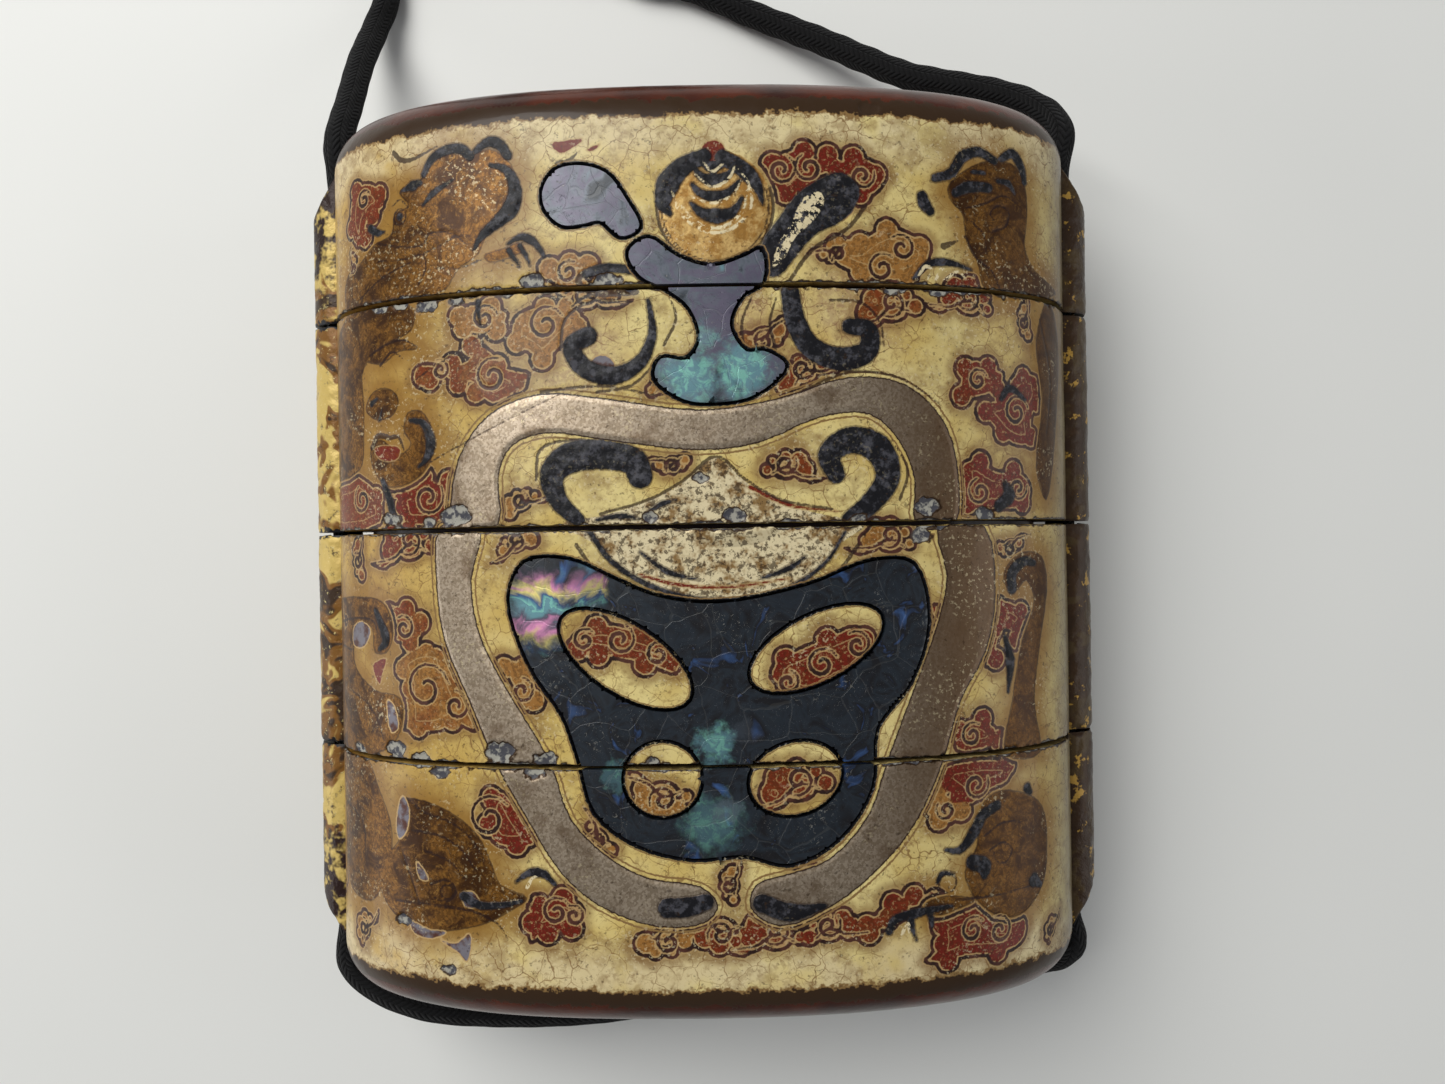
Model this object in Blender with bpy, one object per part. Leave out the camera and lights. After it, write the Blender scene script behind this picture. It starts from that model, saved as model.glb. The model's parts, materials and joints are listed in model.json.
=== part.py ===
"""An inro: a lid and three nesting cases with shell inlays, held on one cord.

Metres, +Z up. It lies on its back: the painted face looks up, the lid's end is
towards +Y, and a small flat on the back touches z = 0.
"""
import math

import bmesh
import bpy
from mathutils import Vector

# Outer form of the closed body, without its cord runners
BODY_WIDTH = 0.0680
BODY_DEPTH = 0.0310
SECTION_POWER = 2.35
BACK_FLAT = 0.00012
END_ROUND = 0.0045

# Heights of the four pieces along the body, and the shut line between two of them
LOWER_HEIGHT = 0.02185
MIDDLE_HEIGHT = 0.0192
UPPER_HEIGHT = 0.0192
LID_HEIGHT = 0.01765
SHUT_GAP = 0.0003

# Walls
SKIRT_WALL = 0.0018
RISER_WALL = 0.0012
RISER_HEIGHT = 0.0060
FIT_CLEARANCE = 0.0003
FLOOR_THICKNESS = 0.0020
END_THICKNESS = 0.0022

# Half-round cord runners on the narrow sides, with a tunnel through each
CORD_DIAMETER = 0.0027
CORD_CLEARANCE = 0.0003
RUNNER_WALL = 0.00105
RUNNER_SETOUT = 0.0001
TUNNEL_WALL = 0.00105
RUNNER_END_SETBACK = 0.0043
RUNNER_END_SLANT = 1.3

# Shell inlays let into the painted face, and the size of one unit of their drawings
INLAY_UNIT = 0.0010
INLAY_THICKNESS = 0.0007
INLAY_GAP = 0.0003
INLAY_PROUD = 0.00005

# How finely the curved forms are divided
SECTION_STEPS = 56
ROUND_STEPS = 4
RUNNER_STEPS = 8
TUNNEL_STEPS = 12
OUTLINE_STEPS = 4
ROUTE_STEPS = 24
WELD_DISTANCE = 0.00004

# Cord: its plain stretches, the coil where the rest is wound up, and the knot
CORD_GAP = 0.0003
CORD_SEAT = 0.0050
CORD_STEP = 2.0
COIL_CENTRE = (-0.0150, 0.0825)
COIL_INNER_RADIUS = 0.0094
COIL_OUTER_RADIUS = 0.0182
COIL_LAYERS = 2
KNOT_RADIUS = 0.0042
KNOT_PLACE = (0.0030, -0.0010)

HALF_WIDTH = BODY_WIDTH / 2
HALF_DEPTH = BODY_DEPTH / 2
AXIS_HEIGHT = HALF_DEPTH - BACK_FLAT
BODY_LENGTH = LOWER_HEIGHT + MIDDLE_HEIGHT + UPPER_HEIGHT + LID_HEIGHT + 3 * SHUT_GAP
BASE_END = -BODY_LENGTH / 2
LOWER_TOP = BASE_END + LOWER_HEIGHT
MIDDLE_BOTTOM = LOWER_TOP + SHUT_GAP
MIDDLE_TOP = MIDDLE_BOTTOM + MIDDLE_HEIGHT
UPPER_BOTTOM = MIDDLE_TOP + SHUT_GAP
UPPER_TOP = UPPER_BOTTOM + UPPER_HEIGHT
LID_BOTTOM = UPPER_TOP + SHUT_GAP
LID_END = LID_BOTTOM + LID_HEIGHT

CORD_RADIUS = CORD_DIAMETER / 2
TUNNEL_RADIUS = CORD_RADIUS + CORD_CLEARANCE
RUNNER_RADIUS = TUNNEL_RADIUS + RUNNER_WALL
RUNNER_AXIS = HALF_WIDTH + RUNNER_SETOUT
RUNNER_END = BODY_LENGTH / 2 - RUNNER_END_SETBACK

OUTER = (HALF_WIDTH, HALF_DEPTH)
RECESS = (RUNNER_AXIS - TUNNEL_RADIUS - TUNNEL_WALL, HALF_DEPTH - SKIRT_WALL)
RISER = (RECESS[0] - FIT_CLEARANCE, RECESS[1] - FIT_CLEARANCE)
CAVITY = (RISER[0] - RISER_WALL, RISER[1] - RISER_WALL)
RECESS_DEPTH = RISER_HEIGHT + FIT_CLEARANCE

# Outlines of the shell inlays on the face, read round each piece, in drawing units: x from the
# middle, and y from the shut line under the lid, or for the plaque from the one under the middle case
PETAL = [(-12.5, 7.85), (-11.5, 9.45), (-9.7, 9.85), (-7.3, 9.15), (-5.6, 6.85), (-4.6, 4.65),
         (-6.1, 3.95), (-7.7, 5.25), (-9.3, 5.05), (-10.9, 5.05), (-12.2, 6.25)]
CREST = [(-5.5, 2.65), (-3.9, 3.75), (-1.5, 2.15), (1.3, 1.35), (4.0, 2.15), (5.2, 2.65),
         (5.3, 0.05), (3.7, -0.95), (2.6, -3.35), (3.9, -5.55), (5.4, -5.55), (7.1, -6.75),
         (4.6, -9.05), (1.5, -9.65), (-1.2, -9.35), (-3.5, -7.55), (-3.0, -6.05), (-0.9, -6.15),
         (0.2, -4.55), (-0.6, -1.95), (-2.4, -0.45), (-4.6, 0.75)]
PLAQUE = [(1.3, 13.05), (-3.6, 13.65), (-7.0, 15.05), (-10.9, 16.75), (-14.5, 16.55), (-15.8, 13.65),
          (-14.2, 8.35), (-11.4, 4.05), (-10.2, 0.65), (-8.9, -3.75), (-5.6, -6.35), (-1.1, -7.55),
          (3.2, -7.35), (6.8, -8.15), (10.9, -6.15), (13.6, -2.15), (14.1, 2.65), (17.0, 6.25),
          (18.6, 11.25), (17.4, 15.95), (14.0, 16.25), (8.6, 14.35)]
# Openings of the large plaque: centre x, y, half length, half width, turn (degrees)
PLAQUE_OPENINGS = [(-6.3, 8.65, 6.4, 3.1, -33.0), (9.3, 9.25, 6.2, 3.0, 25.0),
                   (-3.4, -1.15, 3.4, 3.3, 0.0), (7.4, -1.25, 4.1, 3.2, 15.0)]

# Route of the cord across the base, from the left tunnel to the right one
BASE_ROUTE = [(-0.0345, -0.0374, 0.0153), (-0.0344, -0.0391, 0.0151), (-0.0329, -0.0409, 0.0150),
              (-0.0305, -0.0424, 0.0149), (-0.0268, -0.0437, 0.0147), (-0.0215, -0.0443, 0.0145),
              (-0.0150, -0.0445, 0.0142), (-0.0095, -0.0444, 0.0136), (-0.0040, -0.0441, 0.0124),
              (0.0020, -0.0437, 0.0106), (0.0085, -0.0433, 0.0088), (0.0150, -0.0430, 0.0077),
              (0.0210, -0.0429, 0.0076), (0.0262, -0.0428, 0.0083), (0.0301, -0.0424, 0.0096),
              (0.0329, -0.0413, 0.0113), (0.0344, -0.0397, 0.0137), (0.0347, -0.0377, 0.0153)]
# Routes of the free cord from the lid's two tunnel mouths down to the table and away
LEFT_ROUTE = [(-0.0343, 0.0370, 0.0154), (-0.0347, 0.0396, 0.0148), (-0.0350, 0.0457, 0.0105),
              (-0.0352, 0.0517, 0.0063), (-0.0349, 0.0566, 0.0028), (-0.0340, 0.0605, 0.0015),
              (-0.0338, 0.0640, 0.0014), (-0.0340, 0.0690, 0.0014), (-0.0345, 0.0730, 0.0018)]
RIGHT_ROUTE = [(0.0343, 0.0370, 0.0154), (0.0348, 0.0392, 0.0153), (0.0343, 0.0413, 0.0143),
               (0.0325, 0.0436, 0.0125), (0.0295, 0.0456, 0.0105), (0.0256, 0.0474, 0.0084),
               (0.0218, 0.0491, 0.0066), (0.0180, 0.0515, 0.0049), (0.0139, 0.0541, 0.0034),
               (0.0098, 0.0564, 0.0022), (0.0055, 0.0585, 0.0015), (0.0024, 0.0600, 0.0014),
               (-0.0020, 0.0617, 0.0014), (-0.0060, 0.0624, 0.0014)]


def clear_scene():
    """Remove what a new file starts with."""
    for scene_object in list(bpy.data.objects):
        bpy.data.objects.remove(scene_object, do_unlink=True)


def make_material(name, colour, roughness, metallic):
    """Make a plain Principled finish."""
    material = bpy.data.materials.new(name)
    material.use_nodes = True
    shader = material.node_tree.nodes["Principled BSDF"]
    shader.inputs["Base Color"].default_value = (*colour, 1.0)
    shader.inputs["Roughness"].default_value = roughness
    shader.inputs["Metallic"].default_value = metallic
    return material


def add_object(name, mesh, material=None):
    """Link a mesh as an object with one finish."""
    piece = bpy.data.objects.new(name, mesh)
    bpy.context.collection.objects.link(piece)
    if material:
        mesh.materials.clear()
        mesh.materials.append(material)
    return piece


def combine(target, cutter, operation):
    """Join, cut or intersect the target with another solid, which is then removed."""
    modifier = target.modifiers.new("combine", "BOOLEAN")
    modifier.operation = operation
    modifier.solver = "EXACT"
    modifier.object = cutter
    graph = bpy.context.evaluated_depsgraph_get()
    result = bpy.data.meshes.new_from_object(target.evaluated_get(graph))
    target.modifiers.clear()
    old = target.data
    target.data = result
    bpy.data.meshes.remove(old)
    bpy.data.objects.remove(cutter, do_unlink=True)


def weld_slivers(piece):
    """Weld the points that the cuts leave almost on top of each other."""
    mesh = piece.data
    shape = bmesh.new()
    shape.from_mesh(mesh)
    bmesh.ops.remove_doubles(shape, verts=shape.verts, dist=WELD_DISTANCE)
    bmesh.ops.dissolve_degenerate(shape, dist=WELD_DISTANCE, edges=shape.edges)
    shape.to_mesh(mesh)
    shape.free()


def section_point(half_width, half_depth, angle):
    """A point of the body's rounded section at an angle, from its axis."""
    across = math.cos(angle)
    up = math.sin(angle)
    x = half_width * math.copysign(abs(across) ** (2 / SECTION_POWER), across)
    z = half_depth * math.copysign(abs(up) ** (2 / SECTION_POWER), up)
    return x, z


def section_ring(halves, y, steps=SECTION_STEPS):
    """A ring of points round the body at y; the back is flattened where it would dip below zero."""
    ring = []
    for step in range(steps):
        x, z = section_point(halves[0], halves[1], 2 * math.pi * step / steps)
        ring.append((x, y, max(AXIS_HEIGHT + z, 0.0)))
    return ring


def loft(name, rings):
    """Skin a closed solid through rings of the same number of points, capped at both ends."""
    shape = bmesh.new()
    loops = [[shape.verts.new(point) for point in ring] for ring in rings]
    count = len(loops[0])
    for first, second in zip(loops, loops[1:]):
        for step in range(count):
            after = (step + 1) % count
            shape.faces.new((first[step], first[after], second[after], second[step]))
    shape.faces.new(list(reversed(loops[0])))
    shape.faces.new(loops[-1])
    bmesh.ops.recalc_face_normals(shape, faces=shape.faces)
    mesh = bpy.data.meshes.new(name)
    shape.to_mesh(mesh)
    shape.free()
    return add_object(name, mesh)


def rounded_end(end_y, direction):
    """Rings of a rounded end, from its flat to where the side runs straight."""
    rings = []
    for step in range(ROUND_STEPS + 1):
        turn = math.pi / 2 * step / ROUND_STEPS
        inset = END_ROUND * (1 - math.sin(turn))
        y = end_y - direction * END_ROUND * (1 - math.cos(turn))
        rings.append(section_ring((OUTER[0] - inset, OUTER[1] - inset), y))
    return rings


def block(halves, first, last):
    """A straight solid of the rounded section, from one place along the body to another."""
    return loft("block", [section_ring(halves, first), section_ring(halves, last)])


def slab(bottom, top):
    """The whole of the space between two places along the body."""
    reach = BODY_WIDTH + BODY_DEPTH
    return loft("slab", [[(x * reach, y, z * reach) for x, z in ((-1, -1), (1, -1), (1, 1), (-1, 1))]
                         for y in (bottom, top)])


def runner(side):
    """The half-round runner on a narrow side, slanted at both ends short of the body's own ends."""
    profile = [(RUNNER_AXIS - RUNNER_RADIUS / 2, -RUNNER_RADIUS)]
    for step in range(RUNNER_STEPS + 1):
        turn = math.pi * (step / RUNNER_STEPS - 0.5)
        profile.append((RUNNER_AXIS + RUNNER_RADIUS * math.cos(turn), RUNNER_RADIUS * math.sin(turn)))
    profile.append((RUNNER_AXIS - RUNNER_RADIUS / 2, RUNNER_RADIUS))
    rings = []
    for end in (-1, 1):
        rings.append([(side * x, end * (RUNNER_END - RUNNER_END_SLANT * (x - RUNNER_AXIS)), AXIS_HEIGHT + z)
                      for x, z in profile])
    return loft("runner", rings)


def tunnel(side):
    """The hole that the cord runs through, right along one side of the body."""
    rings = []
    for y in (-BODY_LENGTH, BODY_LENGTH):
        ring = []
        for step in range(TUNNEL_STEPS):
            turn = 2 * math.pi * step / TUNNEL_STEPS
            ring.append((side * RUNNER_AXIS + TUNNEL_RADIUS * math.cos(turn), y,
                         AXIS_HEIGHT + TUNNEL_RADIUS * math.sin(turn)))
        rings.append(ring)
    return loft("tunnel", rings)


def closed_body(name):
    """The whole closed body as one solid, with its two runners and the tunnels through them."""
    body = loft(name, rounded_end(BASE_END, -1) + list(reversed(rounded_end(LID_END, 1))))
    for side in (-1, 1):
        combine(body, runner(side), "UNION")
        combine(body, tunnel(side), "DIFFERENCE")
    return body


def between(before, start, end, after, share):
    """A point of the smooth curve from start to end, with steps that suit uneven spacing."""
    knots = [0.0]
    for first, second in ((before, start), (start, end), (end, after)):
        knots.append(knots[-1] + (second - first).length ** 0.5)
    t = knots[1] + share * (knots[2] - knots[1])

    def mix(first, second, low, high):
        return first + (second - first) * ((t - low) / (high - low))

    one = mix(before, start, knots[0], knots[1])
    two = mix(start, end, knots[1], knots[2])
    three = mix(end, after, knots[2], knots[3])
    return mix(mix(one, two, knots[0], knots[2]), mix(two, three, knots[1], knots[3]), knots[1], knots[2])


def smooth_closed(points, steps=OUTLINE_STEPS):
    """Points along a smooth closed curve through the given ones."""
    count = len(points)
    curve = []
    for index in range(count):
        near = [Vector(points[(index + k) % count]) for k in (-1, 0, 1, 2)]
        curve.extend(between(*near, step / steps) for step in range(steps))
    return curve


def grown(outline, distance):
    """The outline moved outwards by a distance, along its own normals."""
    count = len(outline)
    area = sum(outline[k - 1].x * outline[k].y - outline[k].x * outline[k - 1].y for k in range(count))
    moved = []
    for index in range(count):
        along = (outline[(index + 1) % count] - outline[index - 1]).normalized()
        moved.append(outline[index] + math.copysign(distance, area) * Vector((along.y, -along.x)))
    return moved


def drawn(x, y, line):
    """A point of the inlay drawings on the face, measured from a shut line."""
    return Vector((x * INLAY_UNIT, line + y * INLAY_UNIT))


def ellipse(centre_x, centre_y, half_length, half_width, turn, line, grow):
    """A turned ellipse as outline points, grown by a distance."""
    steps = 5 * OUTLINE_STEPS
    lean = math.radians(turn)
    points = []
    for step in range(steps):
        angle = 2 * math.pi * step / steps
        u = (half_length * INLAY_UNIT + grow) * math.cos(angle)
        v = (half_width * INLAY_UNIT + grow) * math.sin(angle)
        points.append(drawn(centre_x, centre_y, line)
                      + Vector((u * math.cos(lean) - v * math.sin(lean),
                                u * math.sin(lean) + v * math.cos(lean))))
    return points


def prism(outline):
    """An upright block of the outline through the front wall of the body."""
    rings = [[(point.x, point.y, z) for point in outline] for z in (AXIS_HEIGHT, 2 * BODY_DEPTH)]
    return loft("prism", rings)


def face_layer(low, high, bottom, top):
    """A curved layer of the front wall, between two distances under its surface."""
    rings = []
    turns = [2 * math.pi * step / SECTION_STEPS for step in range(2, SECTION_STEPS // 2 - 1)]
    for y in (bottom, top):
        ring = []
        for depth in (high, low):
            points = [section_point(HALF_WIDTH - depth, HALF_DEPTH - depth, turn) for turn in turns]
            if depth == low:
                points.reverse()
            ring.extend((x, y, AXIS_HEIGHT + z) for x, z in points)
        rings.append(ring)
    return loft("layer", rings)


def inlay_solid(outline, openings, line, low, high, bottom, top, grow):
    """The part of a face layer inside an outline, less the openings."""
    solid = face_layer(low, high, bottom, top)
    edge = smooth_closed([drawn(x, y, line) for x, y in outline])
    combine(solid, prism(grown(edge, grow)), "INTERSECT")
    for opening in openings:
        combine(solid, prism(ellipse(*opening, line, -grow)), "DIFFERENCE")
    return solid


def inlay(name, case, outline, openings, line, bottom, top, finish):
    """Let one shell inlay into a case: its pocket is cut, and the shell lies in it."""
    low = INLAY_THICKNESS + INLAY_GAP
    pocket = inlay_solid(outline, openings, line, low, -low, bottom - SHUT_GAP, top + SHUT_GAP, INLAY_GAP)
    combine(case, pocket, "DIFFERENCE")
    shell = inlay_solid(outline, openings, line, INLAY_THICKNESS, -INLAY_PROUD, bottom, top, 0.0)
    weld_slivers(shell)
    shell.name = name
    shell.data.name = name
    shell.data.materials.clear()
    shell.data.materials.append(finish)
    return shell


def make_case(name, bottom, top, hollow, finish):
    """One piece of the body, with its riser, the recess for the riser below it, and its hollow."""
    case = closed_body(name)
    first = bottom if bottom > BASE_END else -BODY_LENGTH
    last = top if top < LID_END else BODY_LENGTH
    combine(case, slab(first, last), "INTERSECT")
    if top < LID_END:
        combine(case, block(RISER, hollow[0], top + RISER_HEIGHT), "UNION")
    if bottom > BASE_END:
        combine(case, block(RECESS, bottom - RISER_HEIGHT, bottom + RECESS_DEPTH), "DIFFERENCE")
    combine(case, block(CAVITY, *hollow), "DIFFERENCE")
    case.data.materials.clear()
    case.data.materials.append(finish)
    return case


def read_smooth(route, spacing):
    """Evenly spaced points on one smooth curve through a route's own points."""
    points = [Vector(point) for point in route]
    ends = [2 * points[0] - points[1]] + points + [2 * points[-1] - points[-2]]
    fine = []
    for index in range(1, len(ends) - 2):
        near = ends[index - 1:index + 3]
        fine.extend(between(*near, step / ROUTE_STEPS) for step in range(ROUTE_STEPS))
    fine.append(points[-1])
    length = sum((b - a).length for a, b in zip(fine, fine[1:]))
    count = max(2, round(length / spacing))
    chosen = [fine[0]]
    walked = 0.0
    for a, b in zip(fine, fine[1:]):
        walked += (b - a).length
        if walked >= length * len(chosen) / count - 1e-9 and len(chosen) < count:
            chosen.append(b)
    chosen.append(fine[-1])
    return chosen


def make_cord(name, route, finish):
    """A plain tube of the cord along a route."""
    curve = bpy.data.curves.new(name, "CURVE")
    curve.dimensions = "3D"
    curve.bevel_depth = CORD_RADIUS
    curve.bevel_resolution = 2
    curve.use_fill_caps = True
    points = read_smooth(route, CORD_STEP * CORD_DIAMETER)
    spline = curve.splines.new("POLY")
    spline.points.add(len(points) - 1)
    for spot, point in zip(spline.points, points):
        spot.co = (*point, 1.0)
    curve.materials.append(finish)
    piece = bpy.data.objects.new(name, curve)
    bpy.context.collection.objects.link(piece)
    return piece


def turned(name, profile, centre, steps, finish):
    """A solid turned about an upright axis from a closed profile of (radius, height)."""
    shape = bmesh.new()
    loops = []
    for step in range(steps):
        turn = 2 * math.pi * step / steps
        loops.append([shape.verts.new((centre[0] + radius * math.cos(turn),
                                       centre[1] + radius * math.sin(turn), z))
                      for radius, z in profile])
    for index in range(steps):
        first, second = loops[index - 1], loops[index]
        for step in range(len(profile)):
            after = (step + 1) % len(profile)
            shape.faces.new((first[step], first[after], second[after], second[step]))
    bmesh.ops.recalc_face_normals(shape, faces=shape.faces)
    mesh = bpy.data.meshes.new(name)
    shape.to_mesh(mesh)
    shape.free()
    return add_object(name, mesh, finish)


def coil_profile():
    """The rounded outline of the coil's turns, side by side in layers on the table."""
    profile = []
    height = COIL_LAYERS * CORD_DIAMETER
    for centre, start in ((COIL_OUTER_RADIUS - CORD_RADIUS, -90), (COIL_INNER_RADIUS + CORD_RADIUS, 90)):
        for step in range(7):
            turn = math.radians(start + 30 * step)
            radius = centre + CORD_RADIUS * math.cos(turn)
            profile.append((radius, height / 2 + height / 2 * math.sin(turn)))
    return profile


def knot_ball(finish):
    """The knot that ends the cord, a squat ball inside the coil."""
    shape = bmesh.new()
    bmesh.ops.create_uvsphere(shape, u_segments=16, v_segments=10, radius=KNOT_RADIUS)
    bmesh.ops.scale(shape, vec=(1.0, 0.9, 0.85), verts=shape.verts)
    place = (COIL_CENTRE[0] + KNOT_PLACE[0], COIL_CENTRE[1] + KNOT_PLACE[1], 0.85 * KNOT_RADIUS + CORD_GAP)
    bmesh.ops.translate(shape, vec=place, verts=shape.verts)
    mesh = bpy.data.meshes.new("knot")
    shape.to_mesh(mesh)
    shape.free()
    return add_object("knot", mesh, finish)


def smooth_shading():
    """Shade the rounded pieces smooth, with their corners kept."""
    for piece in bpy.data.objects:
        if piece.type == "MESH":
            piece.data.shade_smooth()
            piece.data.set_sharp_from_angle(angle=math.radians(35))


def on_axis(side, y):
    """A route point on the axis of one tunnel."""
    return [(side * RUNNER_AXIS, y, AXIS_HEIGHT)]


def build():
    """Make every piece of the inro."""
    clear_scene()
    lacquer = make_material("lacquer_ground", (0.55, 0.42, 0.22), 0.35, 0.0)
    shell = make_material("shell_inlay", (0.10, 0.16, 0.18), 0.22, 0.3)
    cord = make_material("black_cord", (0.012, 0.012, 0.014), 0.9, 0.0)

    above = 2 * RISER_HEIGHT
    floor = RECESS_DEPTH + FLOOR_THICKNESS
    lower_hollow = (BASE_END + END_THICKNESS, LOWER_TOP + above)
    middle_hollow = (MIDDLE_BOTTOM + floor, MIDDLE_TOP + above)
    upper_hollow = (UPPER_BOTTOM + floor, UPPER_TOP + above)
    lid_hollow = (LID_BOTTOM - above, LID_END - END_THICKNESS)
    lower = make_case("lower_case", BASE_END, LOWER_TOP, lower_hollow, lacquer)
    middle = make_case("middle_case", MIDDLE_BOTTOM, MIDDLE_TOP, middle_hollow, lacquer)
    upper = make_case("upper_case", UPPER_BOTTOM, UPPER_TOP, upper_hollow, lacquer)
    lid = make_case("lid", LID_BOTTOM, LID_END, lid_hollow, lacquer)

    inlay("shell_petal", lid, PETAL, [], LID_BOTTOM, LID_BOTTOM, LID_END, shell)
    inlay("shell_crest_top", lid, CREST, [], LID_BOTTOM, LID_BOTTOM, LID_END, shell)
    inlay("shell_crest_stem", upper, CREST, [], LID_BOTTOM, UPPER_BOTTOM, UPPER_TOP, shell)
    for name, case, bottom, top in (("shell_plaque_upper", middle, MIDDLE_BOTTOM, MIDDLE_TOP),
                                    ("shell_plaque_lower", lower, BASE_END, LOWER_TOP)):
        inlay(name, case, PLAQUE, PLAQUE_OPENINGS, MIDDLE_BOTTOM, bottom, top, shell)
    for case in (lower, middle, upper, lid):
        weld_slivers(case)

    seat = RUNNER_END - CORD_SEAT
    through = (on_axis(-1, seat) + on_axis(-1, 0.0) + on_axis(-1, -RUNNER_END) + BASE_ROUTE
               + on_axis(1, -RUNNER_END) + on_axis(1, 0.0) + on_axis(1, seat))
    make_cord("cord_through", through, cord)
    make_cord("cord_left", on_axis(-1, seat + CORD_GAP) + on_axis(-1, RUNNER_END) + LEFT_ROUTE, cord)
    make_cord("cord_right", on_axis(1, seat + CORD_GAP) + on_axis(1, RUNNER_END) + RIGHT_ROUTE, cord)
    turned("cord_coil", coil_profile(), COIL_CENTRE, 32, cord)
    knot_ball(cord)
    smooth_shading()


build()
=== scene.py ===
"""The finish of an inro: lacquered lid and cases, shell inlays, cord runners and a braided cord."""
import json
import math

import bpy
import numpy as np
from bpy.props import FloatProperty, FloatVectorProperty, PointerProperty
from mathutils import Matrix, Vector

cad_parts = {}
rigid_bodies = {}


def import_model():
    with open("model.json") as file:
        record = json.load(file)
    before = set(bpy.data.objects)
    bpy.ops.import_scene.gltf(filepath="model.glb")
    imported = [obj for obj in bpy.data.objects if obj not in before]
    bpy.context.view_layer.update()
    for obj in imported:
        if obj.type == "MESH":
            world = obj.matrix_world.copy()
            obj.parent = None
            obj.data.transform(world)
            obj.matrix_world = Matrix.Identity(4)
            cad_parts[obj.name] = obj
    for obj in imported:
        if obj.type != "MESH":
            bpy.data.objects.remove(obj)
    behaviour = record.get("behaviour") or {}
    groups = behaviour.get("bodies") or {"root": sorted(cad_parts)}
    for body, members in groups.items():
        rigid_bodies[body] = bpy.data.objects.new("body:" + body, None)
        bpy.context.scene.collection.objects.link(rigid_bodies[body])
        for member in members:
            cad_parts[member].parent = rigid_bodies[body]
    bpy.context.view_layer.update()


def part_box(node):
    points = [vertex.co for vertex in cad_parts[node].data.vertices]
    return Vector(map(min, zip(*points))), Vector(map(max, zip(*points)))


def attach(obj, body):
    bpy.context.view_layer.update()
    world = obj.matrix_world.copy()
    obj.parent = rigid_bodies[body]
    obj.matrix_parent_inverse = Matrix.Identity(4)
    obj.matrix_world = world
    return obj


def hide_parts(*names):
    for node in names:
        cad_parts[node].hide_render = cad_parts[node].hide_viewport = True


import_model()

bl_info = {
    "name": "Inro Finish",
    "version": (1, 0, 0),
    "blender": (4, 5, 0),
    "location": "View3D > Sidebar > Inro",
    "description": "Builds the lacquered cases, inlays, runners and cord of an inro",
    "category": "Object",
}

MM = 0.001

# The photograph's frame and the camera that took it, fitted to the shut lines
PHOTO_SIZE = (1445, 1084)
FOCAL_PIXELS = 1040.0
CAMERA_PLACE = (0.00175, 0.00078, 0.1151)
CAMERA_ROLL = math.radians(0.9)
SENSOR_WIDTH = 36.0

# Closed body, as in the solids
HALF_WIDTH = 0.0340
HALF_DEPTH = 0.0155
SECTION_POWER = 2.35
BACK_FLAT = 0.00012
AXIS_HEIGHT = HALF_DEPTH - BACK_FLAT
END_ROUND = 0.0045
RISER_HEIGHT = 0.0060
FIT = 0.0003
RISER_WALL = 0.0012
SKIRT_WALL = 0.0018
FLOOR_THICKNESS = 0.0020
END_THICKNESS = 0.0022
BASE_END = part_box("lower_case")[0].y
LOWER_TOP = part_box("lower_case")[1].y - RISER_HEIGHT
MIDDLE_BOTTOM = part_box("middle_case")[0].y
MIDDLE_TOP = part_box("middle_case")[1].y - RISER_HEIGHT
UPPER_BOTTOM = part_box("upper_case")[0].y
UPPER_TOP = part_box("upper_case")[1].y - RISER_HEIGHT
LID_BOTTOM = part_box("lid")[0].y
LID_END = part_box("lid")[1].y

# Runners and the cord in them
CORD_DIAMETER = 0.0027
CORD_RADIUS = CORD_DIAMETER / 2
TUNNEL_RADIUS = 0.00165
RUNNER_RADIUS = 0.0027
RUNNER_AXIS = 0.0341
RUNNER_END = 0.0351
RUNNER_SLANT = 1.3
RECESS = (RUNNER_AXIS - TUNNEL_RADIUS - 0.00105, HALF_DEPTH - SKIRT_WALL)
RISER = (RECESS[0] - FIT, RECESS[1] - FIT)
CAVITY = (RISER[0] - RISER_WALL, RISER[1] - RISER_WALL)
RECESS_DEPTH = RISER_HEIGHT + FIT

# Shell inlays, in millimetres (x, y) on the face, as in the solids
INLAY_THICKNESS = 0.0007
PETAL = [(-12.5, 29.6), (-11.5, 31.2), (-9.7, 31.6), (-7.3, 30.9), (-5.6, 28.6), (-4.6, 26.4),
         (-6.1, 25.7), (-7.7, 27.0), (-9.3, 26.8), (-10.9, 26.8), (-12.2, 28.0)]
CREST = [(-5.5, 24.4), (-3.9, 25.5), (-1.5, 23.9), (1.3, 23.1), (4.0, 23.9), (5.2, 24.4),
         (5.3, 21.8), (3.7, 20.8), (2.6, 18.4), (3.9, 16.2), (5.4, 16.2), (7.1, 15.0),
         (4.6, 12.7), (1.5, 12.1), (-1.2, 12.4), (-3.5, 14.2), (-3.0, 15.7), (-0.9, 15.6),
         (0.2, 17.2), (-0.6, 19.8), (-2.4, 21.3), (-4.6, 22.5)]
PLAQUE = [(1.3, -4.2), (-3.6, -3.6), (-7.0, -2.2), (-10.9, -0.5), (-14.5, -0.7), (-15.8, -3.6),
          (-14.2, -8.9), (-11.4, -13.2), (-10.2, -16.6), (-8.9, -21.0), (-5.6, -23.6),
          (-1.1, -24.8), (3.2, -24.6), (6.8, -25.4), (10.9, -23.4), (13.6, -19.4), (14.1, -14.6),
          (17.0, -11.0), (18.6, -6.0), (17.4, -1.3), (14.0, -1.0), (8.6, -2.9)]
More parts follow.
